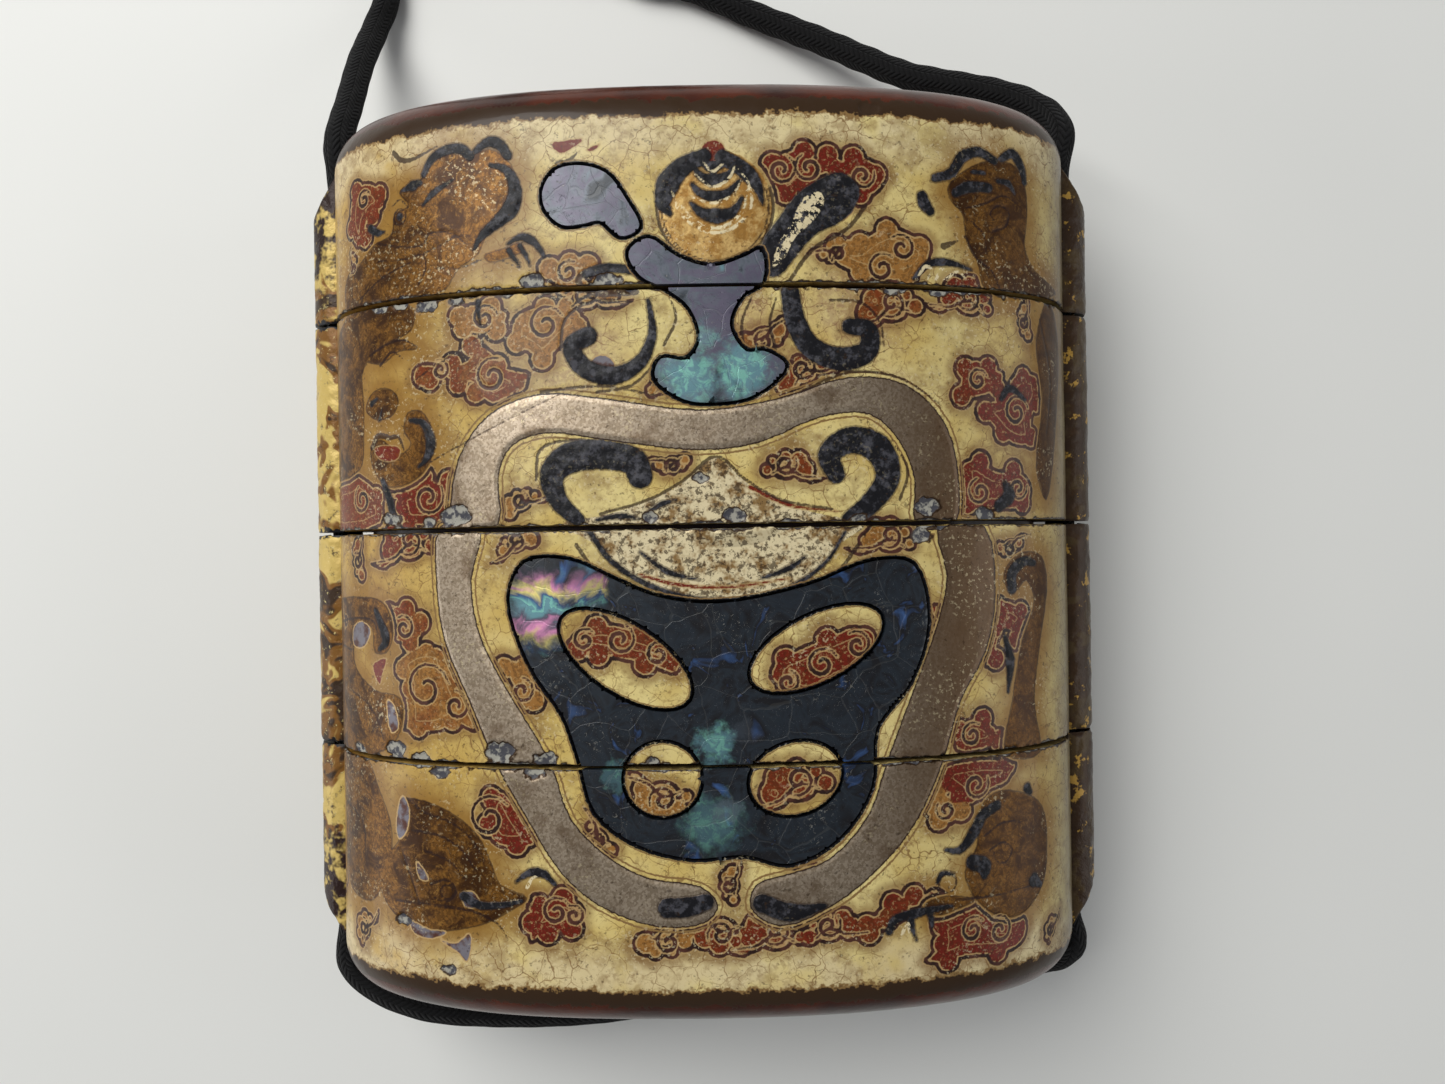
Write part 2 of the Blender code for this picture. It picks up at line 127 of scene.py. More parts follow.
PLAQUE_OPENINGS = [(-6.3, -8.6, 6.4, 3.1, -33.0), (9.3, -8.0, 6.2, 3.0, 25.0),
                   (-3.4, -18.4, 3.4, 3.3, 0.0), (7.4, -18.5, 4.1, 3.2, 15.0)]

# How finely the painted surface is divided: in front, behind, and along the body
FRONT_STEP = 0.00016
SIDE_STEP = 0.00024
BACK_STEP = 0.00050
ROW_STEP = 0.00019
SIDE_REACH = 0.0040
SHELL_STEP = 0.00024
END_RINGS = 8
EDGE_WEAR = 0.00012

# Distances to marks: the value far from any, how far out they are worked out, and how far a tone reaches
FAR = 0.01
MARK_REACH = 0.003
TONE_REACH = 0.0006

# Cord route, as in the solids
CORD_SIDES = 20
CORD_RING = 0.00025
CORD_TURN = math.pi * CORD_DIAMETER / MM
COIL_POINTS = 40
KNOT_STRAND = 0.00115
KNOT_LOOP = (0.00095, 0.00090, 0.0016)
THROUGH_LENGTH = 0.2131
LEFT_LENGTH = 0.2097
RIGHT_LENGTH = 0.2406
CORD_SEAT = 0.0050
CORD_GAP = 0.0003
BASE_ROUTE = [(-0.0345, -0.0374, 0.0153), (-0.0344, -0.0391, 0.0151), (-0.0329, -0.0409, 0.0150),
              (-0.0305, -0.0424, 0.0149), (-0.0268, -0.0437, 0.0147), (-0.0215, -0.0443, 0.0145),
              (-0.0150, -0.0445, 0.0142), (-0.0095, -0.0444, 0.0136), (-0.0040, -0.0441, 0.0124),
              (0.0020, -0.0437, 0.0106), (0.0085, -0.0433, 0.0088), (0.0150, -0.0430, 0.0077),
              (0.0210, -0.0429, 0.0076), (0.0262, -0.0428, 0.0083), (0.0301, -0.0424, 0.0096),
              (0.0329, -0.0413, 0.0113), (0.0344, -0.0397, 0.0137), (0.0347, -0.0377, 0.0153)]
LEFT_ROUTE = [(-0.0343, 0.0370, 0.0154), (-0.0347, 0.0396, 0.0148), (-0.0350, 0.0457, 0.0105),
              (-0.0352, 0.0517, 0.0063), (-0.0349, 0.0566, 0.0028), (-0.0340, 0.0605, 0.0015),
              (-0.0338, 0.0640, 0.0014), (-0.0340, 0.0690, 0.0014), (-0.0345, 0.0730, 0.0018)]
RIGHT_ROUTE = [(0.0343, 0.0370, 0.0154), (0.0348, 0.0392, 0.0153), (0.0343, 0.0413, 0.0143),
               (0.0325, 0.0436, 0.0125), (0.0295, 0.0456, 0.0105), (0.0256, 0.0474, 0.0084),
               (0.0218, 0.0491, 0.0066), (0.0180, 0.0515, 0.0049), (0.0139, 0.0541, 0.0034),
               (0.0098, 0.0564, 0.0022), (0.0055, 0.0585, 0.0015), (0.0024, 0.0600, 0.0014),
               (-0.0020, 0.0617, 0.0014), (-0.0060, 0.0624, 0.0014)]
COIL_CENTRE = (-0.0150, 0.0825)
KNOT_CENTRE = (-0.0120, 0.0815, 0.00387)


def between(before, start, end, after, share):
    """A point of the smooth curve from start to end, with steps that suit uneven spacing."""
    knots = [0.0]
    for first, second in ((before, start), (start, end), (end, after)):
        knots.append(knots[-1] + math.dist(first, second) ** 0.5)
    t = knots[1] + share * (knots[2] - knots[1])

    def mix(first, second, low, high):
        return first + (second - first) * ((t - low) / (high - low))

    one = mix(before, start, knots[0], knots[1])
    two = mix(start, end, knots[1], knots[2])
    three = mix(end, after, knots[2], knots[3])
    return mix(mix(one, two, knots[0], knots[2]), mix(two, three, knots[1], knots[3]), knots[1], knots[2])


def smooth_open(points, steps):
    """Points along a smooth open curve through the given ones."""
    points = [np.array(point, float) for point in points]
    ends = [2 * points[0] - points[1]] + points + [2 * points[-1] - points[-2]]
    curve = []
    for index in range(1, len(ends) - 2):
        near = ends[index - 1:index + 3]
        curve.extend(between(*near, step / steps) for step in range(steps))
    curve.append(points[-1])
    return np.array(curve)


def smooth_closed(points, steps):
    """Points along a smooth closed curve through the given ones."""
    points = [np.array(point, float) for point in points]
    count = len(points)
    curve = []
    for index in range(count):
        near = [points[(index + k) % count] for k in (-1, 0, 1, 2)]
        curve.extend(between(*near, step / steps) for step in range(steps))
    return np.array(curve)


def section_point(halves, angle):
    """Points of the body's rounded section at angles, as x and height over its axis."""
    across = np.cos(angle)
    up = np.sin(angle)
    x = halves[0] * np.sign(across) * np.abs(across) ** (2 / SECTION_POWER)
    z = halves[1] * np.sign(up) * np.abs(up) ** (2 / SECTION_POWER)
    return x, z


def section_normal(angle):
    """The outward normal of the outer section at angles."""
    x, z = section_point((HALF_WIDTH, HALF_DEPTH), angle)
    along = np.sign(x) * np.abs(x / HALF_WIDTH) ** (SECTION_POWER - 1) / HALF_WIDTH
    up = np.sign(z) * np.abs(z / HALF_DEPTH) ** (SECTION_POWER - 1) / HALF_DEPTH
    size = np.hypot(along, up)
    return along / size, up / size


def section_table():
    """Angle against the distance walked round the section from the middle of the face, to the right."""
    angle = np.linspace(math.pi / 2, -math.pi / 2, 6001)
    x, z = section_point((HALF_WIDTH, HALF_DEPTH), angle)
    walked = np.concatenate(([0.0], np.cumsum(np.hypot(np.diff(x), np.diff(z)))))
    return walked, angle


WALKED, WALKED_ANGLE = section_table()
HALF_GIRTH = WALKED[-1]
SIDE_MIDDLE = float(np.interp(0.0, -WALKED_ANGLE, WALKED))


def angle_at(around):
    """Section angle at a distance round the body, negative to the left."""
    angle = np.interp(np.abs(around), WALKED, WALKED_ANGLE)
    return np.where(around < 0, math.pi - angle, angle)


def photo_ray(px, py, z):
    """Where the photograph's pixel looks at, at a height."""
    scale = FOCAL_PIXELS / (CAMERA_PLACE[2] - z)
    right = (px - PHOTO_SIZE[0] / 2) / scale
    up = (PHOTO_SIZE[1] / 2 - py) / scale
    turn_cos, turn_sin = math.cos(CAMERA_ROLL), math.sin(CAMERA_ROLL)
    return (right * turn_cos + up * turn_sin + CAMERA_PLACE[0],
            -right * turn_sin + up * turn_cos + CAMERA_PLACE[1])


FACE_AROUND = np.linspace(-SIDE_MIDDLE, SIDE_MIDDLE, 4001)
FACE_X, FACE_Z = section_point((HALF_WIDTH, HALF_DEPTH), angle_at(FACE_AROUND))


def on_face(px, py):
    """The photograph's pixel as a place on the painted surface: distance round, distance along."""
    x, y = photo_ray(px, py, AXIS_HEIGHT + FACE_Z)
    best = int(np.argmin(np.abs(x - FACE_X)))
    return np.array((FACE_AROUND[best], y[best]))


def face_path(pixels):
    """Pixels of the photograph, given as x, y, x, y and so on, as places on the painted surface."""
    return [on_face(*pixel) for pixel in zip(pixels[::2], pixels[1::2])]


def x_to_around(x):
    """Distance round the face at a width x."""
    return np.interp(x, FACE_X, FACE_AROUND)


def lattice(a, b, seed):
    """Repeatable values from 0 to 1 at whole-number places."""
    mixed = np.sin(a * 127.1 + b * 311.7 + seed * 74.7) * 43758.5453
    return mixed - np.floor(mixed)


def value_noise(u, v, size, seed):
    """Smooth repeatable noise from -1 to 1 with features of a size."""
    a, b = u / size, v / size
    a0, b0 = np.floor(a), np.floor(b)
    fa, fb = a - a0, b - b0
    fa, fb = fa * fa * (3 - 2 * fa), fb * fb * (3 - 2 * fb)
    low = lattice(a0, b0, seed) * (1 - fa) + lattice(a0 + 1, b0, seed) * fa
    high = lattice(a0, b0 + 1, seed) * (1 - fa) + lattice(a0 + 1, b0 + 1, seed) * fa
    return 2 * (low * (1 - fb) + high * fb) - 1


def rough_noise(u, v, size, seed):
    """Noise with two finer layers over the first."""
    total = value_noise(u, v, size, seed)
    total = total + 0.5 * value_noise(u, v, size / 2.1, seed + 1)
    return (total + 0.25 * value_noise(u, v, size / 4.3, seed + 2)) / 1.75


def stroke_distance(u, v, points, widths):
    """Distance from places to a stroke's edge, negative inside it."""
    best = np.full(len(u), FAR)
    for index in range(len(points) - 1):
        start, end = points[index], points[index + 1]
        along = end - start
        length = max(float(along @ along), 1e-14)
        share = np.clip(((u - start[0]) * along[0] + (v - start[1]) * along[1]) / length, 0, 1)
        away = np.hypot(u - start[0] - share * along[0], v - start[1] - share * along[1])
        best = np.minimum(best, away - widths[index] - share * (widths[index + 1] - widths[index]))
    return best


def outline_distance(u, v, points):
    """Distance from places to a closed outline, negative inside it."""
    closed = np.vstack((points, points[:1]))
    edge = stroke_distance(u, v, closed, np.zeros(len(closed)))
    inside = np.zeros(len(u), bool)
    for start, end in zip(closed, closed[1:]):
        crosses = (start[1] > v) != (end[1] > v)
        rise = end[1] - start[1] if end[1] != start[1] else 1e-12
        inside ^= crosses & (u < (end[0] - start[0]) * (v - start[1]) / rise + start[0])
    return np.where(inside, -edge, edge)


class Surface:
    """The painted surface of one piece: places on it, and a distance to each kind of mark."""

    LAYERS = ("cloud", "curl", "ink", "hide", "black", "band", "pocket", "loss", "ivory", "amber", "red",
              "ash", "gold")

    def __init__(self, around, along):
        self.u = around
        self.v = along
        self.layers = {name: np.full(len(around), FAR) for name in self.LAYERS}
        self.tone = np.zeros(len(around))

    def near(self, points, reach):
        """Which places lie within reach of some points."""
        low, high = np.min(points, 0) - reach, np.max(points, 0) + reach
        return np.nonzero((self.u > low[0]) & (self.u < high[0]) & (self.v > low[1]) & (self.v < high[1]))[0]

    def stroke(self, layer, points, width, end_width=None, start_width=None, steps=5, tone=None):
        """Draw a stroke through points, as wide as given in its middle and at its ends."""
        if len(points) > 2:
            points = smooth_open(points, steps)
        points = np.asarray(points, float)
        share = np.linspace(0, 1, len(points))
        first = width if start_width is None else start_width
        last = width if end_width is None else end_width
        widths = np.interp(share, (0, 0.5, 1), (first, width, last)) / 2
        chosen = self.near(points, width + MARK_REACH)
        if len(chosen):
            distance = stroke_distance(self.u[chosen], self.v[chosen], points, widths)
            self.lay(layer, chosen, distance, tone)

    def fill(self, layer, points, steps=4, tone=None):
        """Fill a smooth closed outline."""
        points = smooth_closed(points, steps)
        chosen = self.near(points, MARK_REACH)
        if len(chosen):
            self.lay(layer, chosen, outline_distance(self.u[chosen], self.v[chosen], points), tone)

    def disc(self, layer, centre, radius, tone=None, squash=1.0, turn=0.0):
        """Fill a round or oval spot."""
        chosen = self.near([centre], radius + MARK_REACH)
        if len(chosen):
            du, dv = self.u[chosen] - centre[0], self.v[chosen] - centre[1]
            across = du * math.cos(turn) + dv * math.sin(turn)
            up = (-du * math.sin(turn) + dv * math.cos(turn)) / squash
            self.lay(layer, chosen, (np.hypot(across, up) - radius) * squash, tone)

    def lay(self, layer, chosen, distance, tone):
        """Keep the nearest distance on a layer, with the tone of the mark that is nearest."""
        field = self.layers[layer]
        nearer = distance < field[chosen]
        if tone is not None:
            self.tone[chosen[nearer & (distance < TONE_REACH)]] = tone
        field[chosen] = np.minimum(field[chosen], distance)

    def cut(self, layer, other, keep=0.0):
        """Take another layer's marks out of a layer."""
        self.layers[layer] = np.maximum(self.layers[layer], keep - self.layers[other])


def spiral(centre, radius, turns, start, hand=1, inner=0.12):
    """Points of a spiral that winds in to its centre."""
    steps = max(8, int(14 * turns))
    points = []
    for step in range(steps + 1):
        share = step / steps
        reach = radius * (1 - share) + radius * inner * share
        turn = start + hand * 2 * math.pi * turns * share
        points.append(np.array(centre) + reach * np.array((math.cos(turn), math.sin(turn))))
    return points


def cloud(surface, centre, size, turn, tone, lobes=5, squash=0.72, hand=1):
    """One curling cloud: scalloped lobes over a trailing tail, with a curl wound inside it."""
    lean = math.radians(turn)
    along = np.array((math.cos(lean), math.sin(lean)))
    over = np.array((-along[1], along[0])) * hand
    centre = np.array(centre)
    for index in range(lobes):
        sweep = math.pi * index / (lobes - 1)
        vary = 1 + 0.3 * math.sin(5.1 * index + 3.7 * turn + 900 * size)
        spot = centre + size * 0.66 * math.cos(sweep) * along
        spot = spot + size * 0.66 * squash * math.sin(sweep) * over
        surface.disc("cloud", spot, size * 0.36 * vary, tone)
    surface.disc("cloud", centre, size * 0.52, tone, squash=squash, turn=lean)
    tail = [centre + 0.45 * size * along, centre + 0.9 * size * along - 0.35 * size * over,
            centre + 1.45 * size * along - 0.3 * size * over]
    surface.stroke("cloud", tail, size * 0.34, end_width=size * 0.1, tone=tone)
    curl(surface, centre + 0.2 * size * over, size * 0.42, lean + 0.6, -hand)
    sweep = [centre - 0.5 * size * along - 0.12 * size * over, centre + 0.1 * size * over,
             centre + 0.55 * size * along - 0.2 * size * over,
             centre + 1.2 * size * along - 0.28 * size * over]
    surface.stroke("curl", sweep, 0.3 * MM, end_width=0.12 * MM, start_width=0.12 * MM)


def curl(surface, centre, radius, start, hand=1, turns=1.3):
    """A wound line inside a cloud."""
    surface.stroke("curl", spiral(centre, radius, turns, start, hand, inner=0.2), 0.36 * MM,
                   end_width=0.3 * MM, start_width=0.16 * MM, steps=1)


# The small curling clouds: place in the photograph, size (mm), turn (degrees), redness, hand
CLOUDS = [
    ((352, 268), 1.3, 80, 0.4, -1), ((586, 300), 2.6, 10, 0.35, 1), ((836, 250), 1.7, 200, 0.15, 1),
    ((893, 310), 3.0, 190, 0.55, -1), ((968, 304), 2.9, 170, 0.9, -1), ((1026, 322), 1.7, 100, 0.3, 1),
    ((786, 470), 2.3, 0, 0.7, 1), ((410, 548), 3.2, 185, 0.85, -1), ((360, 560), 2.0, 100, 0.6, 1),
    ((522, 504), 1.9, 30, 0.3, 1), ((517, 545), 1.9, 200, 0.3, -1), ((890, 542), 2.6, 175, 0.45, -1),
    ((345, 620), 1.6, 100, 0.4, -1), ((938, 628), 1.9, 95, 1.0, -1), ((1010, 545), 1.6, 10, 0.6, -1),
    ((600, 838), 1.9, 130, 0.1, 1), ((666, 936), 2.7, 20, 0.35, -1), ((722, 928), 2.7, 170, 0.8, 1),
    ((776, 938), 3.0, 180, 0.85, -1), ((830, 932), 2.6, 10, 0.9, 1), ((733, 886), 1.7, 90, 0.2, 1),
    ((808, 877), 1.7, 5, 0.85, 1), ((664, 793), 2.8, 170, 0.25, 1), ((800, 788), 3.2, 190, 0.75, -1),
    ((762, 336), 2.2, 20, 0.5, -1), ((665, 388), 1.6, 10, 0.35, 1), ((806, 374), 2.6, 30, 0.75, 1),
    ((672, 462), 1.6, 190, 0.35, 1), ((366, 930), 2.0, 60, 0.3, 1), ((1052, 930), 1.5, 60, 0.4, 1),
    ((338, 600), 2.2, 90, 0.4, 1), ((345, 870), 2.4, 80, 0.35, -1),
]

# The large clouds: redness, then the outline in the photograph as x, y, x, y and so on
CLOUD_SHAPES = [
    (0.8, 355, 187, 371, 181, 383, 191, 386, 208, 375, 216, 369, 223, 366, 244, 357, 250, 350, 232, 350, 204),
    (1.0, 759, 162, 778, 152, 798, 147, 812, 155, 828, 151, 845, 158, 860, 154, 878, 162, 887, 175, 883, 189,
     868, 199, 858, 187, 842, 176, 822, 178, 804, 190, 788, 204, 776, 198, 766, 182),
    (0.3, 826, 246, 840, 238, 856, 242, 866, 234, 889, 225, 912, 232, 930, 246, 930, 264, 914, 280, 886, 283,
     857, 276, 834, 264),
    (0.2, 545, 268, 556, 260, 570, 262, 580, 256, 592, 264, 588, 280, 566, 288, 548, 282),
    (0.3, 454, 316, 467, 303, 493, 304, 510, 313, 500, 332, 477, 337, 459, 330),
    (0.6, 412, 377, 422, 363, 448, 363, 467, 357, 472, 339, 493, 350, 504, 364, 531, 372, 528, 384, 494, 407,
     478, 397, 472, 386, 456, 386, 436, 376, 421, 381),
    (0.3, 510, 344, 513, 316, 545, 302, 580, 308, 584, 326, 566, 345, 541, 365, 527, 354),
    (0.95, 391, 487, 406, 479, 424, 473, 440, 480, 455, 478, 462, 502, 446, 523, 404, 526, 398, 509),
    (0.75, 345, 474, 360, 474, 383, 497, 382, 526, 345, 526),
    (0.6, 386, 612, 394, 603, 407, 606, 413, 616, 424, 622, 424, 636, 411, 647, 393, 640),
    (0.45, 396, 662, 406, 650, 424, 643, 449, 650, 462, 678, 482, 710, 484, 724, 470, 731, 456, 726, 441, 733,
     414, 734, 401, 728, 404, 686),
    (0.25, 500, 664, 512, 657, 526, 664, 538, 682, 537, 704, 526, 714, 514, 708, 510, 686),
    (0.8, 566, 650, 572, 634, 590, 622, 612, 622, 644, 630, 668, 641, 684, 660, 676, 676, 650, 668, 622, 662,
     592, 657),
    (0.95, 780, 690, 768, 676, 776, 658, 800, 646, 828, 634, 856, 624, 874, 634, 876, 654, 862, 672, 836, 688,
     806, 700),
    (0.9, 957, 400, 957, 386, 962, 366, 976, 357, 990, 365, 1005, 372, 1001, 390, 982, 399),
    (0.95, 978, 412, 985, 400, 1000, 396, 1011, 375, 1025, 370, 1044, 381, 1040, 401, 1033, 420, 1034, 444,
     1017, 448, 1000, 438, 989, 425),
    (1.0, 960, 509, 960, 463, 976, 457, 998, 469, 1017, 468, 1032, 485, 1028, 507, 996, 512),
    (1.0, 995, 602, 1007, 598, 1024, 608, 1028, 624, 1019, 641, 1004, 632, 993, 666, 984, 668, 991, 628),
    (0.9, 953, 730, 966, 718, 984, 716, 998, 728, 1003, 742, 956, 753),
    (1.0, 938, 782, 940, 766, 1014, 760, 1010, 781, 992, 793, 967, 808, 955, 797),
    (0.35, 936, 786, 955, 797, 966, 810, 952, 826, 938, 822, 926, 824, 930, 804),
    (0.9, 888, 904, 898, 893, 914, 895, 931, 890, 940, 901, 918, 908, 896, 912),
    (0.7, 864, 926, 875, 912, 891, 916, 886, 930, 868, 935),
    (1.0, 934, 921, 955, 908, 981, 902, 992, 917, 1028, 924, 1024, 942, 1004, 955, 966, 959, 942, 966,
     923, 962, 936, 945),
    (1.0, 536, 903, 550, 896, 566, 893, 586, 909, 576, 930, 560, 934, 546, 936, 530, 945, 527, 924),
    (1.0, 488, 792, 505, 790, 520, 812, 538, 846, 519, 850, 495, 846, 484, 826),
]

# Curls in the large clouds: centre in the photograph, radius (mm), start (radians), hand
CURLS = [
    ((364, 200), 0.9, 0.5, 1), ((809, 168), 1.25, 2.0, 1), ((781, 170), 1.3, 1.2, -1),
    ((862, 176), 1.1, 0.4, -1), ((882, 268), 1.3, 0.8, 1), ((902, 248), 1.2, 2.4, -1),
    ((568, 272), 1.0, 1.0, 1), ((484, 318), 1.2, 0.2, 1), ((492, 376), 1.6, 1.0, 1),
    ((440, 370), 0.9, 2.0, -1), ((545, 324), 1.6, 0.4, 1), ((428, 498), 1.6, 0.6, -1),
    ((362, 500), 1.3, 2.0, 1), ((404, 628), 1.1, 2.2, -1), ((426, 688), 2.3, 0.2, 1),
    ((456, 706), 1.3, 1.6, -1), ((522, 691), 1.1, 1.5, -1), ((584, 640), 1.0, 0.6, 1),
    ((620, 640), 1.3, 1.2, -1), ((658, 654), 1.1, 0.4, 1), ((858, 645), 1.2, 2.2, -1),
    ((822, 664), 1.4, 0.4, 1), ((788, 682), 1.0, 1.4, -1), ((978, 380), 1.0, 0.4, 1),
    ((1016, 412), 1.5, 0.3, 1), ((980, 492), 1.2, 1.8, 1), ((1018, 488), 1.1, 0.2, -1),
    ((972, 735), 1.1, 0.9, 1), ((976, 785), 1.3, 0.5, -1), ((946, 810), 0.9, 2.5, 1),
    ((973, 930), 1.2, 0.6, 1), ((1000, 930), 1.3, 2.0, -1), ((556, 912), 1.3, 0.5, 1),
    ((489, 818), 2.0, 0.6, 1), ((574, 916), 0.9, 2.0, -1),
]

# Chips broken out along the shut lines: place in the photograph and size (mm)
CHIPS = [
    ((380, 307), 0.9), ((400, 304), 0.8), ((426, 305), 0.9), ((455, 300), 0.7), ((531, 281), 0.9),
    ((608, 281), 0.9), ((392, 520), 0.8), ((456, 516), 1.35), ((430, 523), 0.6), ((650, 518), 0.7),
    ((734, 516), 0.9), ((700, 478), 0.6), ((928, 506), 1.0), ((985, 515), 0.8), ((860, 519), 0.6),
    ((396, 748), 0.9), ((420, 760), 0.9), ((440, 772), 0.7), ((501, 752), 1.25), ((546, 760), 1.0),
    ((533, 771), 0.9), ((360, 748), 0.7), ((655, 762), 0.5), ((938, 290), 0.7), ((450, 970), 0.6),
    ((922, 535), 0.9), ((404, 919), 0.6), ((890, 290), 0.6), ((870, 108), 0.8),
]

# Filled marks of each layer, by their outlines in the photograph: x, y, x, y and so on
FILLS = {"band": [
    # Metal-dust band
    (455, 524, 459, 460, 490, 415, 540, 395, 600, 399, 700, 411, 780, 399, 850, 378, 906, 386, 945, 425,
     958, 480, 954, 524, 917, 524, 916, 480, 900, 440, 870, 413, 820, 416, 760, 441, 700, 449, 600, 438,
     545, 432, 510, 446, 497, 476, 497, 524),
    (441, 527, 437, 580, 445, 640, 470, 700, 496, 762, 530, 822, 560, 870, 600, 905, 660, 926, 706, 921,
     717, 905, 700, 888, 650, 880, 610, 860, 570, 820, 549, 762, 500, 680, 477, 630, 470, 580, 479, 527),
    (984, 527, 995, 590, 985, 650, 960, 700, 942, 762, 915, 822, 880, 866, 830, 906, 780, 925, 752, 908,
     757, 886, 790, 875, 830, 860, 870, 815, 888, 762, 915, 690, 940, 620, 948, 575, 939, 527),
], "hide": [
    # Dragons in the corners
    (400, 192, 420, 181, 428, 169, 446, 153, 470, 155, 489, 149, 508, 160, 517, 182, 517, 206, 504, 222,
     486, 237, 478, 254, 458, 270, 445, 290, 411, 301, 373, 309, 347, 313, 347, 280, 362, 262, 375, 245,
     392, 234, 395, 214, 409, 206),
    (484, 256, 502, 249, 519, 243, 524, 250, 512, 257, 490, 262),
    (347, 318, 386, 306, 414, 309, 411, 330, 386, 344, 368, 360, 352, 400, 346, 400),
    (366, 360, 386, 344, 404, 340, 418, 348, 398, 352, 382, 364),
    (366, 410, 372, 394, 386, 388, 398, 398, 394, 414, 378, 420),
    (404, 431, 408, 413, 421, 411, 432, 430, 431, 460, 415, 480, 389, 487, 373, 468, 371, 450, 380, 440,
     401, 454, 411, 444),
    (344, 330, 356, 328, 362, 380, 364, 440, 360, 470, 345, 472),
    (348, 614, 366, 597, 386, 606, 393, 632, 387, 652, 375, 652, 372, 628, 360, 624, 354, 660, 375, 690,
     400, 698, 402, 726, 388, 749, 347, 745, 345, 690),
    (345, 752, 366, 756, 380, 790, 392, 830, 388, 870, 372, 900, 350, 880, 346, 800),
    (404, 800, 430, 803, 456, 816, 478, 836, 491, 862, 500, 884, 527, 898, 512, 910, 489, 922, 456, 930,
     426, 930, 396, 915, 381, 888, 386, 855, 398, 842),
    (948, 187, 971, 167, 992, 161, 1015, 167, 1025, 188, 1026, 226, 1024, 246, 1034, 270, 1056, 294, 986, 290,
     977, 260, 966, 237, 962, 213, 951, 201),
    (1004, 582, 1007, 566, 1024, 552, 1042, 557, 1047, 584, 1040, 640, 1034, 700, 1040, 752, 1006, 754,
     1012, 700, 1022, 640, 1034, 600, 1026, 580, 1014, 592),
    (1048, 300, 1058, 340, 1056, 420, 1046, 500, 1036, 470, 1042, 400, 1036, 340),
    (981, 808, 994, 793, 1018, 791, 1042, 806, 1047, 844, 1043, 882, 1025, 911, 1001, 917, 974, 896, 965, 872,
     977, 846),
    (925, 905, 948, 896, 975, 900, 960, 908, 936, 915),
], "black": [
    # Right petal, worn to a dark ground
    (804, 189, 822, 178, 842, 173, 859, 188, 855, 206, 840, 222, 816, 234, 796, 256, 778, 276, 762, 273,
     762, 243, 779, 218, 793, 199),
], "ash": [
    # Right petal, worn to a dark ground
    (834, 206, 850, 202, 854, 208, 842, 220, 832, 218),
    # Dragons in the corners
    (403, 796, 409, 808, 406, 832, 399, 838, 397, 818),
    (441, 940, 456, 944, 470, 934, 467, 961, 458, 952),
    (354, 628, 362, 622, 370, 630, 364, 646, 354, 644),
    (462, 893, 474, 893, 480, 905, 466, 906),
    (410, 921, 430, 930, 446, 932, 432, 938, 414, 932),
    (388, 700, 394, 706, 398, 728, 392, 732),
    (417, 862, 424, 870, 428, 880, 420, 878),
], "ivory": [
    # Peaked motif over the plaque
    (597, 545, 560, 524, 600, 516, 650, 500, 684, 482, 716, 457, 745, 481, 782, 503, 830, 516, 866, 524,
     838, 545, 815, 572, 770, 594, 720, 601, 665, 594, 622, 572),
], "amber": [
    # Peaked motif over the plaque
    (684, 530, 700, 543, 735, 547, 765, 541, 780, 530, 735, 533),
], "red": [
    # Dragons in the corners
    (375, 449, 387, 446, 400, 449, 398, 458, 388, 461, 378, 457),
    (551, 143, 563, 141, 583, 139, 572, 148, 560, 153),
    (373, 666, 386, 659, 382, 674, 380, 684),
    (586, 150, 600, 144, 592, 151),
], "gold": [
    # Right petal, worn to a dark ground
    (804, 198, 820, 192, 824, 202, 812, 222, 796, 236, 784, 258, 773, 267, 777, 247, 791, 224),
]}

